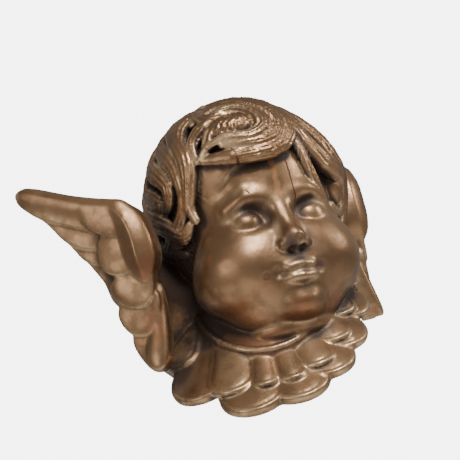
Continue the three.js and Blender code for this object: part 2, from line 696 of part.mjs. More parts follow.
// The point of least error, or nothing where that isn't one point
function bestPoint(q) {
  const m = new THREE.Matrix3().set(q[0], q[1], q[2], q[1], q[4], q[5], q[2], q[5], q[7]);
  const scale = (q[0] + q[4] + q[7]) / 3;
  if (Math.abs(m.determinant()) < 1e-4 * scale ** 3) return null;
  return new THREE.Vector3(-q[3], -q[6], -q[8]).applyMatrix3(m.invert()).toArray();
}

// A heap of edges, the cheapest first
class Heap {
  constructor() {
    this.items = [];
  }

  push(item) {
    const { items } = this;
    let i = items.push(item) - 1;
    while (i > 0) {
      const up = (i - 1) >> 1;
      if (items[up].cost <= items[i].cost) break;
      [items[up], items[i]] = [items[i], items[up]];
      i = up;
    }
  }

  pop() {
    const { items } = this;
    const top = items[0];
    const last = items.pop();
    if (items.length) {
      items[0] = last;
      for (let i = 0; ;) {
        let low = i;
        for (const down of [2 * i + 1, 2 * i + 2]) {
          if (down < items.length && items[down].cost < items[low].cost) low = down;
        }
        if (low === i) break;
        [items[low], items[i]] = [items[i], items[low]];
        i = low;
      }
    }
    return top;
  }
}

const cross = (p, q, r) => {
  const [ax, ay, az] = [q[0] - p[0], q[1] - p[1], q[2] - p[2]];
  const [bx, by, bz] = [r[0] - p[0], r[1] - p[1], r[2] - p[2]];
  return [ay * bz - az * by, az * bx - ax * bz, ax * by - ay * bx];
};

// Thins a closed mesh by closing up its cheapest edges, and keeps it closed
function thinned({ points, faces }, wanted) {
  const error = points.map(() => new Array(10).fill(0));
  const around = points.map(() => new Set());
  faces.forEach((face, f) => {
    const plane = planeError(face, face.map((v) => points[v]));
    for (const v of face) {
      plane.forEach((value, n) => { error[v][n] += value; });
      around[v].add(f);
    }
  });
  const stamp = points.map(() => 0);
  const live = faces.map(() => true);
  const heap = new Heap();
  const propose = (a, b) => {
    const q = error[a].map((value, n) => value + error[b][n]);
    const middle = points[a].map((value, n) => (value + points[b][n]) / 2);
    const span = Math.hypot(...points[a].map((value, n) => value - points[b][n]));
    const best = bestPoint(q);
    const near = best && Math.hypot(...best.map((value, n) => value - middle[n])) < span;
    const point = near ? best : middle;
    const cost = errorAt(q, point) + 1e-4 * span * span;
    heap.push({ cost, a, b, point, stamps: stamp[a] + stamp[b], q });
  };
  const neighbours = (v) => {
    const found = new Set();
    for (const f of around[v]) for (const w of faces[f]) if (w !== v) found.add(w);
    return found;
  };
  const turnsOver = (v, other, point) => {
    for (const f of around[v]) {
      if (faces[f].includes(other)) continue;
      const old = faces[f].map((w) => points[w]);
      const moved = faces[f].map((w) => (w === v ? point : points[w]));
      const [n0, n1] = [cross(...old), cross(...moved)];
      const dot = n0[0] * n1[0] + n0[1] * n1[1] + n0[2] * n1[2];
      if (dot < 0.3 * Math.hypot(...n0) * Math.hypot(...n1)) return true;
    }
    return false;
  };
  points.forEach((_, v) => neighbours(v).forEach((w) => { if (v < w) propose(v, w); }));
  let count = faces.length;
  while (count > wanted && heap.items.length) {
    const { a, b, point, stamps, q } = heap.pop();
    if (stamp[a] < 0 || stamp[b] < 0 || stamp[a] + stamp[b] !== stamps) continue;
    const ofB = neighbours(b);
    const shared = [...neighbours(a)].filter((v) => ofB.has(v));
    if (shared.length !== 2 || turnsOver(a, b, point) || turnsOver(b, a, point)) continue;
    for (const f of around[b]) {
      if (faces[f].includes(a)) {
        live[f] = false;
        count -= 1;
        for (const v of faces[f]) if (v !== b) around[v].delete(f);
      } else {
        faces[f] = faces[f].map((v) => (v === b ? a : v));
        around[a].add(f);
      }
    }
    points[a] = point;
    error[a] = q;
    stamp[b] = -1;
    around[b].clear();
    for (const v of neighbours(a)) {
      stamp[v] += 1;
    }
    stamp[a] += 1;
    for (const v of neighbours(a)) {
      for (const w of neighbours(v)) propose(Math.min(v, w), Math.max(v, w));
    }
  }
  return { points, faces: faces.filter((_, f) => live[f]) };
}

function toGeometry({ points, faces }) {
  const geometry = new THREE.BufferGeometry();
  geometry.setAttribute('position', new THREE.Float32BufferAttribute(points.flat(), 3));
  const volume = faces.reduce((sum, [a, b, c]) => {
    const n = cross([0, 0, 0], points[b], points[c]);
    return sum + points[a][0] * n[0] + points[a][1] * n[1] + points[a][2] * n[2];
  }, 0);
  const outward = volume > 0 ? faces : faces.map(([a, b, c]) => [a, c, b]);
  geometry.setIndex(outward.flat());
  geometry.computeVertexNormals();
  return geometry;
}

function carving() {
  const reach = WING_OUT + WING_LENGTH;
  const low = [-reach, -HEAD_FORWARD - HEAD_HEIGHT * 0.5, RUFF_RISE - RUFF_DROP - 1.12 * RUFF_SLOPE - 40];
  const high = [reach, 4 * GRID, HEAD_RISE + HEAD_HEIGHT * 0.68];
  const counts = low.map((value, axis) => Math.ceil((high[axis] - value) / GRID));
  const values = sampled(low, counts, GRID);
  return toGeometry(thinned(largest(meshed(values, low, counts, GRID)), FACES));
}

const bronzedWood = new THREE.MeshStandardMaterial({ color: 0x8a6338, roughness: 0.42, metalness: 0.6 });
const cherub = new THREE.Mesh(carving(), bronzedWood);
cherub.name = 'winged_cherub_head';

const ornament = new THREE.Group();
ornament.add(cherub);

export default ornament;
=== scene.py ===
"""A winged cherub's head, carved in wood and bronzed, made to hang on a wall.

The carving is cut like the solid that it dresses: forms known by their distance are joined and
cut in order, here with finer strands and feather edges and with the wear of the surface.
Forms are in millimetres and become metres in the finished mesh. +Z is up, the face looks to -Y.
"""
import math

import bpy
import numpy as np
from mathutils import Matrix, Vector


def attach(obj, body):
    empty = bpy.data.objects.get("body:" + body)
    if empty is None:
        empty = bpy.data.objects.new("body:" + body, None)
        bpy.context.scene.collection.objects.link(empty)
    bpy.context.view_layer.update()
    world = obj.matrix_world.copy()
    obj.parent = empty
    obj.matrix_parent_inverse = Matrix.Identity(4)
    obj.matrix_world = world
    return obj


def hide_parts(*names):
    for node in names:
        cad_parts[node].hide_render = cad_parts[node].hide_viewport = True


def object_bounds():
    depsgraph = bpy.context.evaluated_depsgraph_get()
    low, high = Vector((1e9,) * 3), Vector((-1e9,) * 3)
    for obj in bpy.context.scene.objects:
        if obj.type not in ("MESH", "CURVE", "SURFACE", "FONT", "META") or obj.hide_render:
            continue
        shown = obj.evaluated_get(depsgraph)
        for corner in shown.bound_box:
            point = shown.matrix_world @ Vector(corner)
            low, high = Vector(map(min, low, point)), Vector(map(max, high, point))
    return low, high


bl_info = {
    "name": "Winged cherub head",
    "version": (1, 0, 0),
    "blender": (4, 5, 0),
    "location": "3D View > Sidebar > Cherub",
    "description": "Carves a bronzed cherub's head with wings and a feather ruff, and sets up its stage",
    "category": "Object",
}

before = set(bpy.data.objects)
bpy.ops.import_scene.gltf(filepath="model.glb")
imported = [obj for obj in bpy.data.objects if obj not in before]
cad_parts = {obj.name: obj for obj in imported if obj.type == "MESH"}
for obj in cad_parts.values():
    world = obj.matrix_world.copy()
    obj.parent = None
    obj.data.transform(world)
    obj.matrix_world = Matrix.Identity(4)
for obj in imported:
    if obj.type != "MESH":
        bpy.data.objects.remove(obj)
NODE = "winged_cherub_head"
CAD_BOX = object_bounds()
MM = 0.001

# The photograph's camera: degrees round to the head's own right, below it, and the picture's lean
CAMERA_ROUND = 35
CAMERA_BELOW = 9
CAMERA_LEAN = 13
CAMERA_DISTANCE = 0.928
CAMERA_LENS = 85
CAMERA_TARGET = (0.0, -0.112, 0.0435)
CAMERA_ASIDE = (0.0359, 0.0128)  # the target's place right of and above the picture's middle

# The studio: each light's name, place in metres, width in metres and power in watts
LIGHTS = (
    ("window", (-0.2, -1.1, 1.1), 0.6, 26),
    ("fill", (-1.4, -0.5, 0.3), 0.8, 5),
    ("rim", (0.9, -0.9, 0.5), 0.5, 6),
)
STUDIO_LIGHT = 0.3  # strength of the even light all round
BACKDROP_LIGHT = 6.0  # strength of the white behind the carving, as it is seen
FLOOR_WIDTH = 5
FLOOR_BELOW = 1  # the middle of the wall face down to the floor
FLOOR_GLOW = 0.25  # light of the floor's own, which keeps it pale


def length(name, description, default):
    return bpy.props.FloatProperty(name=name, description=description, default=default, unit="LENGTH")


def degrees(name, description, default):
    return bpy.props.FloatProperty(name=name, description=description, default=math.radians(default),
                                   subtype="ANGLE", unit="ROTATION")


def colour(name, description, default):
    return bpy.props.FloatVectorProperty(name=name, description=description, default=default,
                                         subtype="COLOR", size=3, min=0.0, max=1.0)


class HeadSizes(bpy.types.PropertyGroup):
    height: length("Head height", "Under the chin to the top of the hair", 0.230)
    forward: length("Head forward", "Wall to the middle of the head", 0.084)
    rise: length("Head rise", "Middle of the wall face up to the line of the eyes", 0.030)
    turn: degrees("Head turn", "Round to the head's own right", -15)
    nod: degrees("Head nod", "Looking up", -5)


class RuffSizes(bpy.types.PropertyGroup):
    forward: length("Ring forward", "Wall to the middle of the ring that the feathers grow from", 0.073)
    aside: length("Ring aside", "Middle plane to the middle of that ring", -0.001)
    rise: length("Ring rise", "Middle of the wall face to the middle of that ring", -0.025)
    radius: length("Ring radius", "Radius of that ring, seen from above", 0.062)
    slope: length("Ring slope", "How far the ring's front is below its middle", 0.057)
    turn: degrees("Ring turn", "The collar's low front turns with the head", -37)
    reach: length("Feather reach", "Radius at the feathers' tips, seen from above", 0.092)
    drop: length("Feather drop", "How far the tips hang below their roots at the sides", 0.029)
    thick: length("Feather thickness", "Thickness of one feather of the ruff", 0.006)


class WingSizes(bpy.types.PropertyGroup):
    out: length("Wrist out", "Middle between the wings to each wing's wrist", 0.1107)
    aside: length("Wings aside", "Middle plane to the middle between the wings", 0.0025)
    left_lift: length("Left wing lift", "How much higher the carving's own left wing stands", 0.010)
    forward: length("Wrist forward", "Wall to each wing's wrist", 0.090)
    rise: length("Wrist rise", "Middle of the wall face up to each wing's wrist", 0.035)
    sweep: degrees("Sweep", "How far the wings turn back towards the wall", 50)
    span: length("Wing length", "Wrist to tip", 0.124)
    thick: length("Feather thickness", "Thickness of one layer of feathers", 0.009)
    wrist: length("Wrist swell", "How much the rounded front edge swells", 0.013)


class BlockSizes(bpy.types.PropertyGroup):
    width: length("Block width", "Width of the block behind, which is fixed to the wall", 0.176)
    height: length("Block height", "Height of that block", 0.168)
    depth: length("Block depth", "Depth of that block", 0.062)


class CarvingSettings(bpy.types.PropertyGroup):
    grid: length("Grid", "Spacing of the grid that the surface is found on", 0.00135)
    triangles: bpy.props.IntProperty(name="Triangles", description="Triangles that are kept",
                                     default=192000, min=1000)


class BronzeFinish(bpy.types.PropertyGroup):
    bronze: colour("Bronze", "The bronze paint where it is whole", (0.22, 0.125, 0.064))
    gold: colour("Rubbed gold", "Highlights rubbed over edges and high places", (0.66, 0.45, 0.25))
    # Umber is the glaze that stays in the recesses, and it also paints the shade there and in the gaps
    # beside the head
    umber_and_shade: colour("Umber", "The dark glaze that stays in the recesses", (0.028, 0.013, 0.007))
    copper: colour("Copper", "Reddish patches where the paint is thin", (0.27, 0.105, 0.05))
    rust: colour("Rust", "The streak that ran down the forehead", (0.3, 0.11, 0.02))
    wood: colour("Old wood", "The sawn back and the broken tip of the nose", (0.17, 0.085, 0.042))


# Distances and how they join

def join(a, b, k):
    """Joins two distances with a fillet of size k."""
    h = np.maximum(k - np.abs(a - b), 0.0) / k
    return np.minimum(a, b) - h * h * (k * 0.25)


def cut(a, b, k):
    """Takes b out of a, with a rounded edge of size k."""
    return -join(-a, b, k)


def mix(a, b, t):
    return a + (b - a) * t


def lengths(v):
    return np.sqrt(np.einsum("ij,ij->i", v, v))


def unit(v):
    v = np.asarray(v, float)
    return v / np.linalg.norm(v)


class Egg:
    """An ellipsoid along the axes."""

    def __init__(self, mid, radii):
        self.mid = np.array(mid, float)
        self.radii = np.array(radii, float)
        self.reach = self.radii.max()

    def gap(self, place):
        """No form comes closer to the place than this."""
        return np.linalg.norm(place - self.mid) - self.reach

    def at(self, p):
        q = (p - self.mid) / self.radii
        k0 = lengths(q)
        return k0 * (k0 - 1.0) / np.maximum(lengths(q / self.radii), 1e-9)


class Combed(Egg):
    """An ellipsoid combed into wavy strands, which run down from its top. smooth is where its
    smooth front ends, as a share of its radius towards +y."""

    def __init__(self, mid, radii, strands, smooth=-2.0, depth=1.6):
        super().__init__(mid, radii)
        self.strands, self.smooth, self.depth = strands, smooth, depth

    def at(self, p):
        d = super().at(p)
        x, y, z = ((p - self.mid) / self.radii).T
        sway = 0.1 * np.sin(6 * z + 2) + 0.05 * np.sin(15 * z + 5 * x)
        wave = np.abs(np.cos(self.strands / 2 * (np.arctan2(x, -y) + sway)))
        fade = np.clip(2 * np.hypot(x, y), 0, 1) * np.clip(4 * (y - self.smooth), 0, 1)
        return d + self.depth * fade * (1 - wave) * np.clip(1.3 - d / 5, 0, 1)


def ball(mid, radius):
    return Egg(mid, (radius, radius, radius))


class Shell(Egg):
    """The part of a ball on one side of a plane near its middle."""

    def __init__(self, mid, radius, normal, offset):
        super().__init__(mid, (radius, radius, radius))
        self.normal = unit(normal)
        self.offset = offset

    def at(self, p):
        return cut(super().at(p), self.offset - (p - self.mid) @ self.normal, 1.0)


def smooth_path(points, count):
    """Points evenly along the parameter of a smooth curve through some points."""
    points = [np.array(p, float) for p in points]
    points = [2 * points[0] - points[1], *points, 2 * points[-1] - points[-2]]
    path = []
    for i in range(count + 1):
        place = (len(points) - 3) * i / count
        k = min(int(place), len(points) - 4)
        t = place - k
        p0, p1, p2, p3 = points[k:k + 4]
        d0, d1, d2 = (max(np.linalg.norm(b - a) ** 0.5, 1e-4) for a, b in ((p0, p1), (p1, p2), (p2, p3)))
        m1 = ((p1 - p0) / d0 - (p2 - p0) / (d0 + d1) + (p2 - p1) / d1) * d1
        m2 = ((p2 - p1) / d1 - (p3 - p1) / (d1 + d2) + (p3 - p2) / d2) * d1
        c2 = -3 * p1 + 3 * p2 - 2 * m1 - m2
        c3 = 2 * p1 - 2 * p2 + m1 + m2
        path.append(p1 + t * (m1 + t * (c2 + t * c3)))
    return np.array(path)


class Roll:
    """A round roll or arm along a path. Its radius goes from start over middle to end."""

    def __init__(self, points, radii, pieces=9):
        self.path = smooth_path(points, pieces)
        t = np.linspace(0, 1, pieces + 1)
        start, middle, end = radii
        self.radius = np.where(t < 0.5, mix(start, middle, 2 * t), mix(middle, end, 2 * t - 1))
        self.step = self.path[1:] - self.path[:-1]
        self.square = np.maximum((self.step ** 2).sum(1), 1e-6)
        self.slack = self.radius.max() + np.sqrt(self.square.max()) / 2

    def gap(self, place):
        return np.linalg.norm(self.path - place, axis=1).min() - self.slack

    def nearest(self, p, k):
        """From piece k of the path: what is left of the way to p, the share along, the radius."""
        w = p - self.path[k]
        t = np.clip(w @ self.step[k] / self.square[k], 0, 1)
        return w - t[:, None] * self.step[k], t, mix(self.radius[k], self.radius[k + 1], t)

    def at(self, p):
        best = np.full(len(p), 1e9)
        for k in range(len(self.step)):
            w, _, radius = self.nearest(p, k)
            best = np.minimum(best, lengths(w) - radius)
        return best


class Lock(Roll):
    """A lock of hair along a path over a rounded head: a flat roll that tapers, with rounded
    strands and sharp grooves between them. middle is the middle of the head."""

    def __init__(self, points, radii, middle, flat=0.55, strands=4, depth=1.3, pieces=14):
        super().__init__(points, radii, pieces)
        ends = np.vstack((self.step[:1], self.step, self.step[-1:]))
        along = ends[1:] + ends[:-1]
        along /= np.linalg.norm(along, axis=1)[:, None]
        away = self.path - np.array(middle, float)
        away -= (away * along).sum(1)[:, None] * along
        self.away = away / np.linalg.norm(away, axis=1)[:, None]
        self.side = np.cross(along, self.away)
        self.flat, self.strands, self.depth = flat, strands, depth
        self.phase = self.path[0].sum()

    def at(self, p):
        best = np.full(len(p), 1e9)
        across = np.zeros(len(p))
        share = np.zeros(len(p))
        for k in range(len(self.step)):
            w, t, radius = self.nearest(p, k)
            n = mix(w @ self.away[k], w @ self.away[k + 1], t)
            s = mix(w @ self.side[k], w @ self.side[k + 1], t)
            wide = np.maximum((w ** 2).sum(1) - n * n, 0)
            k0 = np.sqrt(wide / radius ** 2 + (n / (self.flat * radius)) ** 2)
            k1 = np.sqrt(wide / radius ** 4 + (n / (self.flat * radius) ** 2) ** 2)
            d = k0 * (k0 - 1) / np.maximum(k1, 1e-6)
            nearer = d < best
            across = np.where(nearer, s / radius, across)
            share = np.where(nearer, (k + t) / len(self.step), share)
            best = np.minimum(best, d)
        taper = np.clip(5 * share, 0, 1) * np.clip(4 * (1 - share), 0.25, 1)
        sway = 0.8 * np.sin(6 * share + self.phase)
        wave = np.abs(np.cos(math.pi / 2 * (self.strands * across + sway)))
        return best + self.depth * taper * (0.6 - wave) * np.clip(1.3 - best / 5, 0, 1)


def rounded(a, b, edge):
    """What two distances have in common, with an edge rounded by a radius."""
    a, b = a + edge, b + edge
    return np.minimum(np.maximum(a, b), 0) + np.hypot(np.maximum(a, 0), np.maximum(b, 0)) - edge


def limb(a, b, ra, rb):
    """A rounded bar from a to b, whose radius goes from ra to rb."""
    return Roll((a, b), (ra, (ra + rb) / 2, rb), 1)


class Feather:
    """A rounded feather from its root to its tip: flat, domed across its width and curled along
    it. out is the side it shows, and a low rim runs round it."""

    def __init__(self, root, tip, out, width, neck, thick, dome, curl, edge, rim):
        self.root = np.array(root, float)
        along = np.array(tip, float) - self.root
        self.length = np.linalg.norm(along)
        self.along = along / self.length
        self.side = unit(np.cross(np.array(out, float), self.along))
        self.face = np.cross(self.along, self.side)
        self.straight = max(self.length - width, 1.0)
        self.width, self.neck, self.thick = width, neck, thick
        self.dome, self.curl = dome, curl
        self.edge, self.rim = min(edge, thick / 2), rim
        self.slack = max(width, neck) + abs(curl) + dome + thick

    def gap(self, place):
        t = np.clip((place - self.root) @ self.along, 0, self.length)
        return np.linalg.norm(place - self.root - t * self.along) - self.slack

    def at(self, p):
        q = p - self.root
        l, w, n = q @ self.along, q @ self.side, q @ self.face
        t = np.clip(l / self.straight, 0, 1)
        outline = np.hypot(l - t * self.straight, w) - mix(self.neck, self.width, t)
        bow = self.dome * (1 - np.minimum((w / self.width) ** 2, 1.6))
        bow += self.curl * np.clip(l / self.length, 0, 1.2) ** 2
        lift = n - bow
        lift += self.rim * np.exp(-((outline + 4.5) / 1.3) ** 2) * (lift > 0)
        return rounded(outline, np.abs(lift) - self.thick / 2, self.edge) * 0.9


class Plate:
    """A flat piece drawn in x and z by the corners of a smooth outline. Its front looks to -y and
    swells up from its edges. lean moves the front back for each step along x and z."""

    def __init__(self, outline, front, back, swell, fade, lean=(0.0, 0.0), edge=1.5):
        corners = np.array(outline, float)
        for _ in range(2):
            after = np.roll(corners, -1, axis=0)
            corners = np.stack((mix(corners, after, 0.25), mix(corners, after, 0.75)), 1).reshape(-1, 2)
        self.sides = list(zip(corners, np.roll(corners, -1, axis=0)))
        self.middle = corners.mean(0)
        self.reach = np.linalg.norm(corners - self.middle, axis=1).max()
        self.front, self.back, self.swell, self.fade = front, back, swell, fade
        self.lean, self.edge = lean, edge

    def gap(self, place):
        flat = math.hypot(place[0] - self.middle[0], place[2] - self.middle[1]) - self.reach
        lean = self.reach * (abs(self.lean[0]) + abs(self.lean[1]))
        deep = max(self.front - self.swell - lean - place[1], place[1] - self.back)
        return math.hypot(max(flat, 0), max(deep, 0))

    def at(self, p):
        x, y, z = p.T
        square = np.full(len(p), 1e9)
        inside = np.zeros(len(p), bool)
        for a, b in self.sides:
            ex, ez = b - a
            wx, wz = x - a[0], z - a[1]
            t = np.clip((wx * ex + wz * ez) / (ex * ex + ez * ez), 0, 1)
            square = np.minimum(square, (wx - t * ex) ** 2 + (wz - t * ez) ** 2)
            if ez:
                inside ^= ((wz < 0) != (z - b[1] < 0)) & (wx < ex * wz / ez)
        outline = np.where(inside, -1, 1) * np.sqrt(square)
        front = self.front + self.lean[0] * (x - self.middle[0]) + self.lean[1] * (z - self.middle[1])
        front -= self.swell * (1 - np.exp(np.minimum(outline, 0) / self.fade))
        return rounded(outline, np.maximum(front - y, y - self.back), self.edge) * 0.85


# Steps of carving, in order: forms that are added, and forms that are taken away

def add(form, soft=2.0):
    return (form, soft, False)


def take(form, soft=2.0):
    return (form, soft, True)


def both(steps):
    return [make(side) for make in steps for side in (-1, 1)]


class Group:
    """Forms with a frame of their own: where it stands, how it is turned, and one part's size."""

    def __init__(self, steps, soft, origin=(0, 0, 0), turn=0.0, nod=0.0, part=1.0, mirror=False):
        self.steps = steps
        self.soft = soft
        self.part = part
        place = Matrix.Translation(origin) @ Matrix.Rotation(turn, 4, "Z") @ Matrix.Rotation(nod, 4, "X")
        inverse = (place @ Matrix.Scale(part, 4)).inverted()
        self.turned = np.array(inverse.to_3x3()).T
        if mirror:
            self.turned = np.diag((-1.0, 1.0, 1.0)) @ self.turned
        self.moved = np.array(inverse.translation)

    def local(self, p):
        return p @ self.turned + self.moved

    def near(self, mid, radius):
        place = self.local(mid)
        far = self.soft + radius / self.part
        return [i for i, (form, soft, _) in enumerate(self.steps) if form.gap(place) < far + soft]

    def at(self, p, chosen):
        q = self.local(p)
        own = np.full(len(p), 1e3)
        for i in chosen:
            form, soft, away = self.steps[i]
            own = cut(own, form.at(q), soft) if away else join(own, form.at(q), soft)
        return own * self.part


# The head, in its own frame: the middle of the head on the line of the eyes is 0

HEAD_PARTS = 235  # parts to the head's height
BROW = ((13, -66, 17), (28, -67.5, 19.5), (43, -57, 13))


def flesh_steps():
    def eye(s):
        return (s * 29, -52, -2)

    def mirrored(s, points):
        return [(s * x, y, z) for x, y, z in points]

    steps = [
        add(Egg((0, 16, 42), (69, 78, 70)), 8),
        add(Egg((0, -22, 40), (62, 50, 50)), 20),
        add(Egg((0, -22, -6), (64, 50, 66)), 14),
        add(Egg((0, -14, -38), (72, 57, 46)), 16),
        *both([lambda s: add(Egg((s * 33, -36, -36), (37, 36, 34)), 18)]),
        add(Egg((0, -22, -74), (46, 40, 25)), 14),
        add(Egg((0, -56, -50), (26, 19, 26)), 14),
        add(Egg((0, -57.5, -75), (18, 16.5, 12.5)), 9),
        # Folds of the double chin and the neck
        add(Egg((0, -18, -92), (43, 38, 15)), 5),
        *both([
            lambda s: take(Egg((s * 27, -84, 4), (20, 25, 13.5)), 9),
            lambda s: take(ball((s * 14, -70, -1), 5), 8),
            lambda s: add(ball(eye(s), 13.3), 1),
            lambda s: add(Shell(eye(s), 15.2, (0, 0.447, 0.894), -1.2), 2),
            lambda s: add(Shell(eye(s), 14.8, (0, 0.479, -0.878), 0.8), 3),
            lambda s: add(Roll(mirrored(s, BROW), (2, 3.6, 2.4), 6), 12),
        ]),
        add(limb((0, -64, 8), (0, -78, -20), 6, 7.6), 11),
        add(Egg((0, -80, -25), (9, 8.6, 8)), 6),
        *both([
            lambda s: add(Egg((s * 9.3, -75.5, -28), (6, 7.5, 5.6)), 3.5),
            lambda s: take(Egg((s * 4.6, -80, -34), (2.8, 4.6, 3.2)), 2),
        ]),
        take(Egg((2, -93.5, -29), (8, 8, 7)), 1.5),
    ]
    for s in (-1, 1):
        upper = mirrored(s, [(16.5, -71.5, -51), (9.5, -76, -47.8), (3, -77.6, -46.5)])
        lower = mirrored(s, [(14, -71.5, -53.5), (8, -75.5, -56), (0, -76.8, -57)])
        parting = mirrored(s, [(18.5, -73.5, -50.5), (9, -80, -52), (0, -82, -51.2)])
        steps += [
            add(Roll(upper, (1.6, 3, 3.4), 6), 5),
            add(Roll(lower, (1.8, 3.6, 4), 6), 5),
            take(Roll(parting, (1, 1.3, 1.5), 6), 2),
            take(ball((s * 19.5, -77, -50.5), 4), 6),
        ]
    steps += [
        take(limb((0, -84, -36), (0, -87, -42), 2, 2.6), 4),
        take(limb((-6, -81, -65.5), (6, -81, -65.5), 3.2, 3.2), 7),
    ]
    return steps


HAIR_MIDDLE = (-5, 12, 50)
HAIR_RADII = (74, 88, 72)


def on_hair(round_, up, lift):
    """A point on the hair, by its angle round from the face, its height angle and its lift.
    Below the middle the hair hangs nearly straight down."""
    a, b = math.radians(round_), math.radians(up)
    rx, ry, rz = (r + lift for r in HAIR_RADII)
    wide, high = (math.cos(b), math.sin(b)) if up > 0 else (1 - 0.12 * b * b, b)
    x0, y0, z0 = HAIR_MIDDLE
    return (x0 + rx * math.sin(a) * wide, y0 - ry * math.cos(a) * wide, z0 + rz * high)


def lock(route, radii, lift=2, flat=0.6, strands=4, depth=1.3, soft=1.5):
    """A lock through places on the hair, each an angle round, an angle up and how much more it
    lifts there."""
    points = [on_hair(round_, up, lift + sum(more)) for round_, up, *more in route]
    return add(Lock(points, radii, HAIR_MIDDLE, flat, strands, depth), soft)


# Locks as routes of angles round from the face and up, then their radii, lift and strands
FORELOCK = (
    (((-44, 66), (-22, 66), (4, 60), (18, 46), (22, 30), (20, 15), (10, 5), (-8, 2), (-26, 4), (-38, 7)),
     (6, 11, 5), 4.5, 5),
    (((-42, 38), (-22, 47), (-2, 43), (9, 33), (13, 21), (7, 11), (-8, 9), (-24, 12)), (5, 9, 4), 7, 4),
    (((-33, 30), (-19, 39), (-5, 37), (3, 28), (3, 18), (-7, 13), (-22, 16), (-32, 13)), (4, 7, 3), 9, 3),
    (((-16, 31), (-28, 33), (-37, 28), (-43, 20), (-42, 7)), (4, 7, 3), 6, 3),
    (((-22, 53), (-44, 48), (-54, 37), (-52, 24), (-45, 10)), (5, 9, 4), 5, 4),
    (((-20, 26), (-30, 23), (-33, 15), (-39, 8)), (3, 6, 2.5), 7, 2),
    (((-36, 60), (-40, 46), (-33, 36), (-24, 34), (-16, 38)), (4, 7, 3), 7.5, 3),
    (((-20, 60), (0, 58), (14, 48), (22, 34), (26, 22), (25, 10)), (5, 7, 3), 3, 3),
)
RIGHT_LOCKS = (
    (((-40, 78), (-62, 66), (-72, 50), (-59, 32), (-50, 15), (-49, 2), (-52, -9), (-55, -18), (-53, -27)),
     (6, 9, 4), 4.5, 4),
    (((-66, 68), (-82, 54), (-80, 38), (-64, 20), (-58, 8), (-57, -6), (-62, -19)), (6, 10, 4), 3, 4),
    (((-30, 76), (-50, 60), (-60, 44), (-56, 30), (-48, 20)), (5, 8, 3), 3.5, 3),
)
LEFT_LOCKS = (
    (((26, 42), (33, 24), (34, 8, 3), (42, -6, 9), (58, -10, 13), (68, -22, 11), (62, -34, 7), (52, -31, 4)),
     (6, 10, 4), 3.5, 4),
    (((28, 62), (46, 42), (56, 20, 4), (61, 4, 9), (68, -10, 13), (76, -26, 12), (72, -40, 6), (62, -46)),
     (7, 12, 4.5), 4, 5),
    (((23, 16), (27, 3), (31, -11), (38, -24), (47, -35), (58, -43)), (4, 6, 3), 4, 3),
    (((6, 80), (36, 66), (64, 46, 3), (74, 24, 6), (78, 4, 8), (86, -14, 6)), (6, 12, 5), 2.5, 5),
    (((40, 76), (70, 66), (92, 46), (88, 26), (78, 10), (84, -4)), (7, 11, 4), 2, 4),
    (((30, 70), (38, 52), (43, 38), (44, 24), (50, 10)), (6, 9, 4), 3, 4),
)
SIDE_LOCKS = (
    (((80, 60), (93, 42), (90, 26), (75, 13, 1), (67, 1), (73, -10), (92, -6)), (6, 10, 3), 3.5, 4),
    (((94, 44), (104, 28), (98, 10), (80, -4), (88, -16), (106, -12)), (6, 10, 3), 2.5, 4),
    (((112, 24), (108, 8), (94, -8), (78, -23), (66, -33), (58, -28)), (7, 11, 4), 4, 4),
    (((60, -16), (70, -28), (86, -34), (100, -28)), (6, 9, 4), 2, 3),
    (((124, 4), (118, -12), (104, -26), (86, -38), (72, -44)), (6, 11, 4), 1.5, 4),
)
# Each tier's upper and lower angle, and how far a lock sways to its side on its way down
BACK_TIERS = ((-6, -46), (24, -14), (52, 14), (80, 44))
BACK_SWAY = (0, 9, -3, -7, 4)


def hair_steps():
    steps = [
        add(Combed((-5.5, 12, 50), (74, 88, 72), 84, -0.75), 4),
        add(Combed((-4, 20, 6), (73, 79, 62), 84, -0.75), 12),
        take(Egg((0, -72, -22), (64, 62, 75)), 5),
        add(Combed((-15, -56, 80), (32, 23, 18), 30), 5),
        add(Egg(on_hair(66, -14, 2), (15, 22, 26)), 10),
    ]
    for side in (-1, 1):
        # Tiers of wavy locks round the back, each staggered against the next
        for tier, (top, low) in enumerate(BACK_TIERS):
            for round_ in range(104 + 12 * (tier % 2), 192, 24):
                route = [(side * (round_ + sway), mix(top, low, i / 4)) for i, sway in enumerate(BACK_SWAY)]
                steps.append(lock(route, (8, 13, 4), 0.5 + 1.5 * (tier % 2), 0.6, 4, 2))
        for route, radii, lift, strands in SIDE_LOCKS:
            steps.append(lock([(side * a, *rest) for a, *rest in route], radii, lift, 0.7, strands, 2))
    for route, radii, lift, strands in RIGHT_LOCKS + LEFT_LOCKS + FORELOCK:
        steps.append(lock(route, radii, lift, 0.75, strands, 1.7))
    steps.append(add(ball(on_hair(-9, 27, 8), 4), 2))
    return steps


# The ruff

FEATHER_START = -0.3  # where a feather of the ruff starts, as a share of the way from ring to tips


def petal(sizes, root_round, tip_round, end, lift, width, thick):
    """One feather of the ruff, by its root's and its tip's angle round from the collar's low front."""
    radius, reach, slope, drop = (v / MM for v in (sizes.radius, sizes.reach, sizes.slope, sizes.drop))

    def place(share, round_):
        a = math.radians(round_)
        r = mix(radius, reach, share)
        return np.array((r * math.sin(a), -r * math.cos(a),
                         lift - drop * share - slope * math.cos(a) * mix(1, 1.12, share)))

    root, tip = place(FEATHER_START, root_round), place(end, tip_round)
    a = math.radians((root_round + tip_round) / 2)
    ringward = (math.cos(a), math.sin(a), slope / radius * math.sin(a))
    out = unit(np.cross(tip - root, ringward))
    return Feather(root, tip, out, width, width * 0.85, thick, dome=5, curl=3, edge=3, rim=0.7)


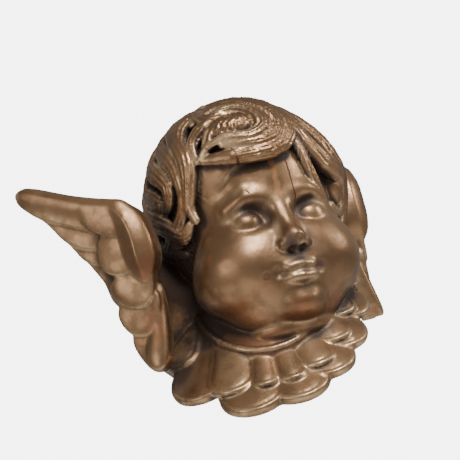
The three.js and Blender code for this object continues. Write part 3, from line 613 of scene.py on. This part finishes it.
# Each feather's root and tip in degrees round from the collar's low front, half its width and its reach
RUFF_BELOW = (
    (-150, -142, 25, 1), (-128, -112, 25, 1), (-106, -82, 25, 1.05), (-66, -47, 29, 1.07),
    (-22, -15, 29, 1.07), (10, 10, 27, 0.98), (33, 33, 25, 0.85), (55, 53, 24, 0.72),
    (78, 76, 25, 0.63), (104, 104, 24, 0.66), (132, 132, 26, 0.8),
)
RUFF_ABOVE = (
    (-144, -134, 20, 0.6), (-124, -102, 20, 0.66), (-98, -64, 18, 0.82), (-37, -27, 21, 0.86),
    (-10, -8, 13, 0.68), (7, 8, 14, 0.68), (26, 26, 18, 0.66), (46, 46, 17, 0.52),
    (66, 66, 17, 0.4), (94, 94, 20, 0.36), (126, 126, 20, 0.4),
)


def ruff_steps(sizes):
    thick = sizes.thick / MM
    steps = []
    for lift, feathers, thickness in ((-3, RUFF_BELOW, thick * 1.6), (3, RUFF_ABOVE, thick * 1.3)):
        for root, tip, width, share in feathers:
            steps.append(add(petal(sizes, root, tip, share, lift, width, thickness), 2))
    return steps


def neck_steps(sizes):
    """The neck and the collar's body under the feathers, in the frame of the tilted ring."""
    radius, reach, slope = sizes.radius / MM, sizes.reach / MM, sizes.slope / MM
    long = math.hypot(radius, slope) / radius
    ridge = [(0.95 * radius * math.sin(a), -0.95 * radius * long * math.cos(a), 14)
             for a in map(math.radians, range(-120, 121, 20))]
    return [
        add(Egg((0, 16, -28), (reach - 24, (reach - 18) * 1.22, 24)), 6),
        add(Egg((0, 0, -4), (radius, radius * long, 22)), 8),
        add(Egg((0, 1, 9), (radius + 1, (radius + 1) * long, 15)), 1.5),
        add(Roll(ridge, (2.6, 2.6, 2.6), 24), 1.5),
    ]


# The wings

WING_PARTS = 118  # parts to the wing's length
# Plates of the wing from the back to the front: the corners of an outline, how far the front
# stands behind the wrist's middle, how much it swells, over how far, and its lean. Then come the
# rounded bulge at the wrist and the arm along the wing's upper edge.
UPPER_EDGE = ((8, 34), (36, 44), (73, 58), (96, 70))
WING_TIP = ((110, 69), (104, 55), (89, 44))
LONG_FEATHERS = (
    ((*UPPER_EDGE, *WING_TIP, (70, 17), (60, 0), (52, -14), (46, -26), (30, -32), (8, -28)),
     8.6, 1, 4, (0.05, 0)),
    ((*UPPER_EDGE, *WING_TIP, (72, 19), (60, -2), (34, -8), (8, -20)), 6.2, 1, 4, (0.05, 0)),
    ((*UPPER_EDGE, *WING_TIP, (71, 15), (40, 4), (8, -10)), 3.8, 1, 4, (0.05, 0)),
    ((*UPPER_EDGE, (111, 71), (105, 57), (90, 43), (64, 30), (36, 16), (8, 0)), 1.4, 1, 4, (0.05, 0)),
)
COVERTS = (
    (((8, -52), (32, -58), (37, -70), (31, -86), (23, -97), (14, -97), (9, -80)), 5.4, 1.6, 5, (0, 0)),
    (((2, -30), (34, -32), (43, -44), (41, -56), (32, -67), (12, -68)), 3, 1.6, 5, (0, 0)),
    (((4, -12), (32, -13), (42, -22), (40, -34), (31, -45), (10, -46)), 0.4, 1.6, 5, (0.05, 0)),
    (((10, 24), (38, 22), (48, 10), (48, -6), (40, -16), (24, -19), (8, -10)), -1.6, 1.6, 5, (0.08, 0)),
    (((14, 34), (38, 44), (54, 48), (56, 36), (50, 24), (34, 13), (12, 10)), -3.2, 1.6, 5, (0.08, 0)),
    (((6, -24), (14, -42), (20, -62), (27, -84), (21, -96), (11, -96), (6, -84), (3, -44)),
     4, 3, 4, (0, 0.2)),
)
BULGE = ((10, 33), (21, 40), (31, 39), (29, 26), (26, 10), (26, -5),
         (22, -18), (13, -29), (5, -22), (0, -9), (0, 6), (4, 23))
ARM = ((24, 2, 35), (40, 4, 40), (62, 6, 49), (84, 8, 60), (100, 9, 67))


def wing_steps(sizes):
    """One wing in its own frame: x out from the wrist, z up, and the side that shows is -y."""
    thick = sizes.thick / MM
    steps = []
    for outline, front, swell, fade, lean in LONG_FEATHERS:
        steps.append(add(Plate(outline, front, front + thick, swell, fade, lean, 1.0), 0.8))
    steps.append(add(Roll(ARM, (6, 5, 5)), 10))
    for outline, front, swell, fade, lean in COVERTS:
        steps.append(add(Plate(outline, front, front + 1.4 * thick, swell, fade, lean), 1.0))
    steps.append(add(Plate(BULGE, -1, 2 * thick, sizes.wrist / MM, 11), 3))
    return steps


def block_steps(head, wing, block):
    """What joins wings, neck and head to the wall."""
    forward, rise = head.forward / MM, head.rise / MM
    out, aside, arm_end = wing.out / MM + 10, wing.aside / MM, 38 - wing.forward / MM
    return [
        add(Egg((0, -8, -14), (block.width / MM / 2, block.depth / MM, block.height / MM / 2)), 10),
        add(Egg((0, -forward * 0.6, rise + 42), (68, 70, 62)), 12),
        *both([
            lambda s: add(Egg((s * 60, -18, -10), (42, 32, 56)), 14),
            lambda s: add(limb((s * 66, -22, -8), (aside + s * out, arm_end, 6), 28, 16), 14),
        ]),
    ]


def all_groups(scene):
    head, ruff, wing, block = scene.cherub_head, scene.cherub_ruff, scene.cherub_wing, scene.cherub_block
    head_frame = {"origin": (0, -head.forward / MM, head.rise / MM), "turn": head.turn, "nod": head.nod,
                  "part": head.height / MM / HEAD_PARTS}
    ruff_frame = {"origin": (ruff.aside / MM, -ruff.forward / MM, ruff.rise / MM), "turn": ruff.turn}
    wings = []
    for side in (-1, 1):
        lift = wing.left_lift if side > 0 else 0
        origin = (wing.out / MM + side * wing.aside / MM, -wing.forward / MM, (wing.rise + lift) / MM)
        part = wing.span / MM / WING_PARTS
        wings.append(Group(wing_steps(wing), 6, origin, wing.sweep, 0.0, part, side < 0))
    return [
        Group(block_steps(head, wing, block), 1),
        *wings,
        Group(ruff_steps(ruff), 2, **ruff_frame),
        Group(neck_steps(ruff), 1.5, nod=math.atan2(ruff.slope, ruff.radius), **ruff_frame),
        Group(flesh_steps(), 2, **head_frame),
        Group(hair_steps(), 1.5, **head_frame),
    ]


# From distances to a mesh

def distance(groups, p, chosen):
    d = np.full(len(p), 1e3)
    for group, steps in zip(groups, chosen):
        if len(steps):
            d = join(d, group.at(p, steps), group.soft)
    return np.maximum(d, p[:, 1])


class Field:
    """Distances on a grid: exact near the surface, coarse away from it."""

    BLOCK = 14

    def __init__(self, groups, low, high, step):
        self.low = np.array(low, float)
        self.step = step
        blocks = np.ceil((np.array(high, float) - self.low) / step / self.BLOCK).astype(int)
        self.counts = blocks * self.BLOCK
        size = self.BLOCK * step
        radius = size * math.sqrt(3) / 2
        places = np.stack(np.meshgrid(*[np.arange(n) for n in blocks], indexing="ij"), -1).reshape(-1, 3)
        mids = self.low + (places + 0.5) * size
        everything = [np.arange(len(group.steps)) for group in groups]
        middle = distance(groups, mids, everything)
        fill = middle.reshape(blocks).astype(np.float32)
        for axis in range(3):
            fill = np.repeat(fill, self.BLOCK, axis=axis)
        self.values = fill
        one = np.arange(self.BLOCK) * step
        inner = np.stack(np.meshgrid(one, one, one, indexing="ij"), -1).reshape(-1, 3)
        for place, mid in zip(places[np.abs(middle) < 1.5 * radius], mids[np.abs(middle) < 1.5 * radius]):
            chosen = [group.near(mid, radius + 2 * step) for group in groups]
            corner = self.low + place * size
            cube = distance(groups, corner + inner, chosen).reshape((self.BLOCK,) * 3)
            i, j, k = place * self.BLOCK
            self.values[i:i + self.BLOCK, j:j + self.BLOCK, k:k + self.BLOCK] = cube

    def at(self, p):
        """The distance at some points, between those of the grid."""
        q = (p - self.low) / self.step
        q = np.clip(q, 0, np.array(self.values.shape) - 1.001)
        cell = q.astype(int)
        f = q - cell
        total = np.zeros(len(p))
        for corner in range(8):
            bits = np.array([corner & 1, corner >> 1 & 1, corner >> 2 & 1])
            weight = np.prod(np.where(bits, f, 1 - f), axis=1)
            i, j, k = (cell + bits).T
            total += weight * self.values[i, j, k]
        return total

    def slope(self, p, reach):
        """The direction in which the distance grows, measured over some reach."""
        parts = []
        for axis in range(3):
            offset = np.zeros(3)
            offset[axis] = reach
            parts.append((self.at(p + offset) - self.at(p - offset)) / (2 * reach))
        return np.stack(parts, 1)


def surface(field):
    """Points and four-sided faces where the distance is nought, one point for each cell."""
    values = field.values
    inside = values < 0
    cells = inside[:-1, :-1, :-1].astype(np.int8)
    corners = [(i, j, k) for i in (0, 1) for j in (0, 1) for k in (0, 1)]
    nx, ny, nz = (n - 1 for n in values.shape)
    for i, j, k in corners[1:]:
        cells = cells + inside[i:i + nx, j:j + ny, k:k + nz]
    active = (cells > 0) & (cells < 8)
    where = np.argwhere(active)
    index = np.full(active.shape, -1, np.int32)
    index[active] = np.arange(len(where))
    total = np.zeros((len(where), 3))
    hits = np.zeros(len(where))
    edges = [(a, b) for a in corners for b in corners if sum(b) == sum(a) + 1 and
             sum(abs(m - n) for m, n in zip(a, b)) == 1]
    for a, b in edges:
        va = values[tuple((where + a).T)]
        vb = values[tuple((where + b).T)]
        crossed = (va < 0) != (vb < 0)
        t = np.where(crossed, va / np.where(crossed, va - vb, 1), 0)
        total += crossed[:, None] * (np.array(a) + np.subtract(b, a) * t[:, None])
        hits += crossed
    points = field.low + field.step * (where + total / hits[:, None])
    quads = []
    for axis in range(3):
        u, v = (axis + 1) % 3, (axis + 2) % 3
        first = np.take(inside, range(inside.shape[axis] - 1), axis)
        second = np.take(inside, range(1, inside.shape[axis]), axis)
        edge = np.argwhere(first != second)
        edge = edge[(edge[:, u] > 0) & (edge[:, v] > 0)]
        back_u, back_v = np.zeros(3, int), np.zeros(3, int)
        back_u[u] = back_v[v] = 1
        starts_inside = first[tuple(edge.T)]
        ring = [edge, edge - back_u, edge - back_u - back_v, edge - back_v]
        quad = np.stack([index[tuple(cell.T)] for cell in ring], 1)
        quad[~starts_inside] = quad[~starts_inside, ::-1]
        quads.append(quad)
    quads = np.concatenate(quads)
    return points, quads


def mesh_from(name, points, faces):
    mesh = bpy.data.meshes.new(name)
    sides = faces.shape[1]
    mesh.vertices.add(len(points))
    mesh.vertices.foreach_set("co", points.astype(np.float32).ravel())
    mesh.loops.add(faces.size)
    mesh.loops.foreach_set("vertex_index", faces.astype(np.int32).ravel())
    mesh.polygons.add(len(faces))
    mesh.polygons.foreach_set("loop_start", np.arange(0, faces.size, sides, dtype=np.int32))
    mesh.polygons.foreach_set("loop_total", np.full(len(faces), sides, np.int32))
    mesh.update(calc_edges=True)
    return mesh


def thinned(mesh, triangles):
    """A copy of the mesh with about so many triangles, fewest where it is smoothest."""
    now = sum(len(p.vertices) - 2 for p in mesh.polygons)
    holder = bpy.data.objects.new("thinning", mesh)
    bpy.context.scene.collection.objects.link(holder)
    thin = holder.modifiers.new("thin", "DECIMATE")
    thin.ratio = min(1.0, triangles / now)
    thin.use_collapse_triangulate = True
    evaluated = holder.evaluated_get(bpy.context.evaluated_depsgraph_get())
    result = bpy.data.meshes.new_from_object(evaluated)
    bpy.data.objects.remove(holder)
    bpy.data.meshes.remove(mesh)
    return result


def arrays_of(mesh):
    points = np.zeros(len(mesh.vertices) * 3, np.float32)
    mesh.vertices.foreach_get("co", points)
    mesh.calc_loop_triangles()
    faces = np.zeros(len(mesh.loop_triangles) * 3, np.int32)
    mesh.loop_triangles.foreach_get("vertices", faces)
    return points.reshape(-1, 3).astype(float), faces.reshape(-1, 3)


def largest(points, faces):
    """Only the largest connected piece, so that no chip floats beside it."""
    label = np.arange(len(points))
    ends = np.concatenate([faces[:, [0, 1]], faces[:, [1, 2]]])
    while True:
        low = np.minimum(label[ends[:, 0]], label[ends[:, 1]])
        new = label.copy()
        np.minimum.at(new, ends[:, 0], low)
        np.minimum.at(new, ends[:, 1], low)
        new = new[new]
        if (new == label).all():
            break
        label = new
    kept = label == np.bincount(label[faces[:, 0]]).argmax()
    renumbered = np.cumsum(kept) - 1
    return points[kept], renumbered[faces[kept[faces[:, 0]]]]


def set_attribute(mesh, name, values):
    attribute = mesh.attributes.new(name, "FLOAT", "POINT")
    attribute.data.foreach_set("value", np.clip(values, 0, 1).astype(np.float32))


# How far from the surface the solid is felt for, outside it for recesses and inside it for edges
RECESS_REACHES = (3, 7, 14, 28)
EDGE_REACHES = (2.5, 5)
MARGIN = 10  # of the grid round the box of the solid


def carve(scene):
    groups = all_groups(scene)
    step = scene.cherub_carving.grid / MM
    low, high = (np.array(corner) / MM for corner in CAD_BOX)
    field = Field(groups, low - MARGIN, high + MARGIN, step)
    points, faces = surface(field)
    mesh = thinned(mesh_from("found", points, faces), scene.cherub_carving.triangles)
    points, faces = arrays_of(mesh)
    bpy.data.meshes.remove(mesh)
    points, faces = largest(points, faces)
    for _ in range(2):
        slope = field.slope(points, step * 0.5)
        points -= (field.at(points) / np.maximum(lengths(slope), 0.5) ** 2)[:, None] * slope
    points[:, 1] = np.minimum(points[:, 1], 0)
    slope = field.slope(points, step)
    normals = slope / np.maximum(lengths(slope), 1e-6)[:, None]
    mesh = mesh_from(NODE, points * MM, faces)
    # How closed in each point is, which the finish darkens as umber glaze and as painted shade
    closed = [np.clip(1 - field.at(points + h * normals) / h, 0, 1) for h in RECESS_REACHES]
    narrow = [np.clip(1 + field.at(points - h * normals) / h, 0, 1) for h in EDGE_REACHES]
    set_attribute(mesh, "recess", sum(closed) / len(closed))
    set_attribute(mesh, "edge", sum(narrow) / len(narrow))
    return mesh


# Finish

def new_node(tree, kind, inputs=None, **settings):
    """A node with its settings. Each input is a plain value or another node's output."""
    made = tree.nodes.new(kind)
    for name, value in settings.items():
        setattr(made, name, value)
    for name, value in (inputs or {}).items():
        if isinstance(value, bpy.types.NodeSocket):
            tree.links.new(value, made.inputs[name])
        else:
            made.inputs[name].default_value = value
    return made


def calculated(tree, operation, *values):
    return new_node(tree, "ShaderNodeMath", dict(enumerate(values)), operation=operation).outputs["Value"]


def product(tree, a, b):
    return calculated(tree, "MULTIPLY", a, b)


def total(tree, a, b):
    return calculated(tree, "ADD", a, b)


def most(tree, masks):
    result = masks[0]
    for mask in masks[1:]:
        result = calculated(tree, "MAXIMUM", result, mask)
    return result


def vectored(tree, operation, *values):
    made = new_node(tree, "ShaderNodeVectorMath", dict(enumerate(values)), operation=operation)
    return made.outputs["Value" if operation in ("DISTANCE", "LENGTH", "DOT_PRODUCT") else "Vector"]


def scaled(tree, vector, factor):
    inputs = {"Vector": vector, "Scale": factor}
    return new_node(tree, "ShaderNodeVectorMath", inputs, operation="SCALE").outputs["Vector"]


def ramped(tree, value, low, high, to_low=0.0, to_high=1.0):
    inputs = {"Value": value, "From Min": low, "From Max": high, "To Min": to_low, "To Max": to_high}
    return new_node(tree, "ShaderNodeMapRange", inputs, interpolation_type="SMOOTHSTEP").outputs["Result"]


def blended(tree, factor, a, b):
    inputs = {"Factor": factor, "A": a, "B": b}
    return new_node(tree, "ShaderNodeMix", inputs, data_type="RGBA").outputs["Result"]


def noise(tree, vector, scale, detail=3.0, output="Fac"):
    inputs = {"Vector": vector, "Scale": scale, "Detail": detail}
    return new_node(tree, "ShaderNodeTexNoise", inputs).outputs[output]


def shade(colour, factor):
    """A colour made lighter or darker, for a node's socket."""
    return (*(channel * factor for channel in colour), 1)


def group_tree(name, inputs):
    """A node group with named inputs, each with its default, and the output Mask."""
    tree = bpy.data.node_groups.new(name, "ShaderNodeTree")
    for title, default in inputs.items():
        kind = "NodeSocketVector" if isinstance(default, tuple) else "NodeSocketFloat"
        tree.interface.new_socket(title, in_out="INPUT", socket_type=kind).default_value = default
    tree.interface.new_socket("Mask", in_out="OUTPUT", socket_type="NodeSocketFloat")
    given = tree.nodes.new("NodeGroupInput").outputs
    where = tree.nodes.new("ShaderNodeTexCoord").outputs["Object"]
    return tree, given, where


def finish_group(tree, mask):
    tree.links.new(mask, tree.nodes.new("NodeGroupOutput").inputs["Mask"])
    return tree


def mottle_group():
    """Soft patches of one size over the surface."""
    tree, given, where = group_tree("mottle", {"Scale": 30.0, "Low": 0.4, "High": 0.7})
    return finish_group(tree, ramped(tree, noise(tree, where, given["Scale"]), given["Low"], given["High"]))


def spot_group():
    """A ragged round patch."""
    tree, given, where = group_tree("spot", {"Middle": (0.0, 0.0, 0.0), "Radius": 0.01, "Ragged": 0.5})
    share = calculated(tree, "DIVIDE", vectored(tree, "DISTANCE", where, given["Middle"]), given["Radius"])
    rough = calculated(tree, "SUBTRACT", noise(tree, where, 120.0, 4.0), 0.5)
    share = total(tree, share, product(tree, rough, given["Ragged"]))
    return finish_group(tree, ramped(tree, share, 1.0, 0.45))


def crack_group():
    """A thin line that wanders from one place to another, seen along y."""
    inputs = {"Start": (0.0, 0.0, 0.0), "End": (0.0, 0.0, 0.01), "Width": 0.0006, "Wander": 0.004}
    tree, given, where = group_tree("crack", inputs)
    wobble = vectored(tree, "SUBTRACT", noise(tree, where, 70.0, 2.0, "Color"), (0.5, 0.5, 0.5))
    here = vectored(tree, "ADD", where, scaled(tree, wobble, given["Wander"]))
    here = vectored(tree, "SUBTRACT", here, given["Start"])
    whole = vectored(tree, "SUBTRACT", given["End"], given["Start"])
    along = vectored(tree, "DOT_PRODUCT", here, whole)
    share = calculated(tree, "DIVIDE", along, vectored(tree, "DOT_PRODUCT", whole, whole))
    share = new_node(tree, "ShaderNodeClamp", {"Value": share}).outputs["Result"]
    aside = vectored(tree, "SUBTRACT", here, scaled(tree, whole, share))
    away = vectored(tree, "LENGTH", vectored(tree, "MULTIPLY", aside, (1.0, 0.05, 1.0)))
    return finish_group(tree, ramped(tree, calculated(tree, "DIVIDE", away, given["Width"]), 1.0, 0.4))


def pinhole_group():
    """Small round holes scattered over the surface."""
    tree, given, where = group_tree("pinholes", {"Scale": 60.0, "Size": 0.06, "Share": 0.2})
    cells = new_node(tree, "ShaderNodeTexVoronoi", {"Vector": where, "Scale": given["Scale"]}).outputs
    dot = ramped(tree, calculated(tree, "DIVIDE", cells["Distance"], given["Size"]), 1.0, 0.6)
    lot = new_node(tree, "ShaderNodeSeparateColor", {"Color": cells["Color"]}).outputs["Red"]
    return finish_group(tree, product(tree, dot, calculated(tree, "LESS_THAN", lot, given["Share"])))


# Where the old carving is worn or damaged, and where shade is painted into the gaps beside the head: places
# and radii in metres
COPPER_SPOTS = (
    ((-0.025, -0.158, -0.044), 0.016), ((-0.059, -0.112, -0.040), 0.026),
    ((0.010, -0.150, -0.040), 0.016), ((-0.114, -0.090, 0.016), 0.018),
    ((-0.043, -0.125, -0.068), 0.022), ((-0.120, -0.085, -0.030), 0.020),
)
# Painted shade: dark patches in the gaps between the head, the wings and the neck
SHADE_GAPS = (
    ((-0.068, -0.055, 0.012), 0.045), ((-0.072, -0.075, -0.035), 0.03),
    ((0.074, -0.06, -0.005), 0.04),
)
NOSE_SCAR = ((-0.029, -0.1665, 0.0095), 0.010)
CHEEK_DENT = ((-0.047, -0.149, -0.012), 0.0045)
RUST_STREAK = ((-0.0165, -0.1505, 0.084), (-0.0175, -0.151, 0.054))
CRACKS = (
    ((-0.048, -0.143, 0.092), (-0.042, -0.147, 0.057)),
    ((-0.004, -0.150, 0.080), (-0.004, -0.153, 0.044)),
)
BACK_PLANE = -0.0012  # what is nearer to the wall than this is the sawn back


def masked(tree, kind, **inputs):
    """The mask of a node group that is placed with these values."""
    made = new_node(tree, "ShaderNodeGroup", node_tree=kind)
    for name, value in inputs.items():
        made.inputs[name.title()].default_value = value
    return made.outputs["Mask"]


def wear_and_shade_masks(tree, where):
    """The masks of the finish and of the painted shade in the recesses and gaps, by name."""
    mottle, spot, crack, pinholes = mottle_group(), spot_group(), crack_group(), pinhole_group()

    def spots(places, ragged):
        return [masked(tree, spot, middle=middle, radius=radius, ragged=ragged) for middle, radius in places]

    def line(start, end, width, wander):
        return masked(tree, crack, start=start, end=end, width=width, wander=wander)

    small = masked(tree, mottle, scale=85.0, low=0.36, high=0.68)
    thin = masked(tree, mottle, scale=38.0, low=0.56, high=0.72)
    recess = new_node(tree, "ShaderNodeAttribute", attribute_name="recess").outputs["Fac"]
    # Painted shade: the recesses and the gaps beside the head are darkened, together with the umber glaze
    # that stays there
    shaded = total(tree, recess, product(tree, small, 0.06))
    shaded = total(tree, shaded, product(tree, most(tree, spots(SHADE_GAPS, 0.9)), 0.27))
    depth = new_node(tree, "ShaderNodeSeparateXYZ", {"Vector": where}).outputs["Y"]
    return {
        "broad": masked(tree, mottle, scale=16.0, low=0.38, high=0.66),
        "small": small,
        "copper": most(tree, [product(tree, thin, 0.5), *spots(COPPER_SPOTS, 1.6)]),
        "cracks": most(tree, [line(*ends, 0.0009, 0.006) for ends in CRACKS]),
        "rust": line(*RUST_STREAK, 0.0035, 0.008),
        "scar": spots([NOSE_SCAR], 0.6)[0],
        "dent": spots([CHEEK_DENT], 0.8)[0],
        "holes": masked(tree, pinholes, scale=55.0, size=0.05, share=0.16),
        "edge": new_node(tree, "ShaderNodeAttribute", attribute_name="edge").outputs["Fac"],
        "glaze_and_shade": ramped(tree, shaded, 0.15, 0.56),
        "back": calculated(tree, "GREATER_THAN", depth, BACK_PLANE),
    }


def paint_colour(tree, finish, masks):
    """Mottled bronze, worn to copper, rubbed with gold and glazed with umber, which also paints the shade in
    the recesses and in the gaps beside the head, with its damage.
    """
    small = masks["small"]
    paint = blended(tree, masks["broad"], shade(finish.bronze, 1), shade(finish.bronze, 1.7))
    paint = blended(tree, product(tree, small, 0.35), paint, shade(finish.bronze, 0.5))
    paint = blended(tree, product(tree, masks["copper"], 0.5), paint, shade(finish.copper, 1))
    rubbed = product(tree, ramped(tree, masks["edge"], 0.1, 0.5), ramped(tree, small, 0.0, 1.0, 0.9, 0.35))
    paint = blended(tree, rubbed, paint, shade(finish.gold, 1))
    # The umber glaze in the recesses, which is also painted shade there and in the gaps beside the head
    paint = blended(tree, product(tree, masks["glaze_and_shade"], 0.95), paint, shade(finish.umber_and_shade, 1))
    paint = blended(tree, product(tree, masks["rust"], 0.4), paint, shade(finish.rust, 1))
    bare = most(tree, [masks["scar"], masks["cracks"], product(tree, masks["dent"], 0.15), masks["holes"]])
    return blended(tree, bare, paint, shade(finish.wood, 0.45))


def wood_colour(tree, finish, where):
    inputs = {"Vector": where, "Scale": 90.0, "Distortion": 3.0, "Detail": 4.0}
    rings = new_node(tree, "ShaderNodeTexWave", inputs, bands_direction="X").outputs["Fac"]
    return blended(tree, rings, shade(finish.wood, 1), shade(finish.wood, 0.6))


def relief(tree, masks, where):
    """The grain, the marks of the tools and the sunk damage, as a normal."""
    grain = product(tree, noise(tree, where, 420.0, 4.0), 0.12)
    tools = product(tree, noise(tree, where, 70.0, 2.0), 0.9)
    sunk = product(tree, most(tree, [masks["cracks"], masks["holes"]]), 1.2)
    sunk = total(tree, sunk, product(tree, masks["dent"], 0.8))
    height = calculated(tree, "SUBTRACT", total(tree, grain, tools), sunk)
    bump = new_node(tree, "ShaderNodeBump", {"Height": height, "Strength": 0.5, "Distance": 0.0007})
    return bump.outputs["Normal"]


def bronzed_wood(finish):
    """Bronze paint over wood, with gold rubbed on what stands out and dark glaze in the recesses, which is
    also painted shade there.
    """
    material = bpy.data.materials.new("bronzed_wood")
    material.use_nodes = True
    tree = material.node_tree
    shader = tree.nodes["Principled BSDF"].inputs
    where = new_node(tree, "ShaderNodeTexCoord").outputs["Object"]
    masks = wear_and_shade_masks(tree, where)
    dull = most(tree, [product(tree, masks["glaze_and_shade"], 0.85), masks["scar"],
                       product(tree, masks["rust"], 0.4), masks["back"]])
    rough = ramped(tree, masks["small"], 0.0, 1.0, 0.3, 0.4)
    rough = total(tree, rough, product(tree, masks["copper"], 0.05))
    paint, wood = paint_colour(tree, finish, masks), wood_colour(tree, finish, where)
    tree.links.new(blended(tree, masks["back"], paint, wood), shader["Base Color"])
    tree.links.new(ramped(tree, dull, 0.0, 1.0, 0.86, 0.0), shader["Metallic"])
    tree.links.new(total(tree, rough, product(tree, dull, 0.3)), shader["Roughness"])
    tree.links.new(relief(tree, masks, where), shader["Normal"])
    return material


class CHERUB_OT_carving(bpy.types.Operator):
    """Carves the winged head and gives it its bronze finish"""

    bl_idname = "cherub.carving"
    bl_label = "Carve the winged head"

    def execute(self, context):
        mesh = carve(context.scene)
        piece = bpy.data.objects.new("carved_cherub", mesh)
        context.scene.collection.objects.link(piece)
        mesh.materials.append(bronzed_wood(context.scene.cherub_finish))
        mesh.shade_smooth()
        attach(piece, "root")
        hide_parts(NODE)
        return {"FINISHED"}


def pale_floor():
    bpy.ops.mesh.primitive_plane_add(size=FLOOR_WIDTH, location=(0, 0, -FLOOR_BELOW))
    floor = bpy.context.object
    floor.name = "pale_floor"
    material = bpy.data.materials.new("pale_floor")
    material.use_nodes = True
    shader = material.node_tree.nodes["Principled BSDF"].inputs
    shader["Base Color"].default_value = (0.9, 0.9, 0.9, 1)
    shader["Roughness"].default_value = 0.9
    shader["Emission Color"].default_value = (1, 1, 1, 1)
    shader["Emission Strength"].default_value = FLOOR_GLOW
    floor.data.materials.append(material)
    return floor


def white_world():
    """An even soft light, with a brighter white where the camera looks past the carving."""
    world = bpy.data.worlds.new("studio")
    world.use_nodes = True
    tree = world.node_tree
    backdrop = tree.nodes["Background"].inputs
    seen = new_node(tree, "ShaderNodeLightPath").outputs["Is Camera Ray"]
    inputs = {"Value": seen, "To Min": STUDIO_LIGHT, "To Max": BACKDROP_LIGHT}
    backdrop["Color"].default_value = (1, 1, 1, 1)
    tree.links.new(new_node(tree, "ShaderNodeMapRange", inputs).outputs["Result"], backdrop["Strength"])
    return world


def area_light(name, place, size, power):
    lamp = bpy.data.lights.new(name, "AREA")
    lamp.energy = power
    lamp.size = size
    holder = bpy.data.objects.new(name, lamp)
    holder.location = place
    holder.rotation_euler = (Vector(CAMERA_TARGET) - Vector(place)).to_track_quat("-Z", "Y").to_euler()
    bpy.context.scene.collection.objects.link(holder)


def photo_camera():
    """A camera that sees the carving as the photograph does."""
    camera = bpy.data.objects.new("camera", bpy.data.cameras.new("camera"))
    camera.data.lens = CAMERA_LENS
    around, below, lean = (math.radians(v) for v in (CAMERA_ROUND, CAMERA_BELOW, CAMERA_LEAN))
    level = Vector((math.cos(around), -math.sin(around), 0))
    back = Vector((-math.sin(around), -math.cos(around), 0)) * math.cos(below)
    back.z = -math.sin(below)
    upright = level.cross(-back)
    right = level * math.cos(lean) - upright * math.sin(lean)
    up = level * math.sin(lean) + upright * math.cos(lean)
    aim = Vector(CAMERA_TARGET) - right * CAMERA_ASIDE[0] - up * CAMERA_ASIDE[1]
    stand = Matrix((right, up, back)).transposed().to_4x4()
    stand.translation = aim + back * CAMERA_DISTANCE
    camera.matrix_world = stand
    return camera


class CHERUB_OT_stage(bpy.types.Operator):
    """Sets up the pale floor, the soft studio light and the camera"""

    bl_idname = "cherub.stage"
    bl_label = "Set up the stage"

    def execute(self, context):
        scene = context.scene
        pale_floor()
        scene.world = white_world()
        for light in LIGHTS:
            area_light(*light)
        camera = photo_camera()
        scene.collection.objects.link(camera)
        scene.camera = camera
        return {"FINISHED"}


class CHERUB_PT_panel(bpy.types.Panel):
    """Lists the carving's sizes and steps"""

    bl_label = "Cherub"
    bl_idname = "CHERUB_PT_panel"
    bl_space_type = "VIEW_3D"
    bl_region_type = "UI"
    bl_category = "Cherub"

    def draw(self, context):
        column = self.layout.column()
        for group_name, _ in SETTINGS:
            group = getattr(context.scene, group_name)
            box = column.box()
            for name in group.__annotations__:
                box.prop(group, name)
        column.operator(CHERUB_OT_carving.bl_idname)
        column.operator(CHERUB_OT_stage.bl_idname)


SETTINGS = (
    ("cherub_head", HeadSizes),
    ("cherub_ruff", RuffSizes),
    ("cherub_wing", WingSizes),
    ("cherub_block", BlockSizes),
    ("cherub_carving", CarvingSettings),
    ("cherub_finish", BronzeFinish),
)
CLASSES = (*(kind for _, kind in SETTINGS), CHERUB_OT_carving, CHERUB_OT_stage, CHERUB_PT_panel)


def register():
    for kind in CLASSES:
        bpy.utils.register_class(kind)
    for name, kind in SETTINGS:
        setattr(bpy.types.Scene, name, bpy.props.PointerProperty(type=kind))


def unregister():
    for name, _ in SETTINGS:
        delattr(bpy.types.Scene, name)
    for kind in reversed(CLASSES):
        bpy.utils.unregister_class(kind)


def main():
    register()
    bpy.ops.cherub.carving()
    bpy.ops.cherub.stage()


if __name__ == "__main__":
    main()
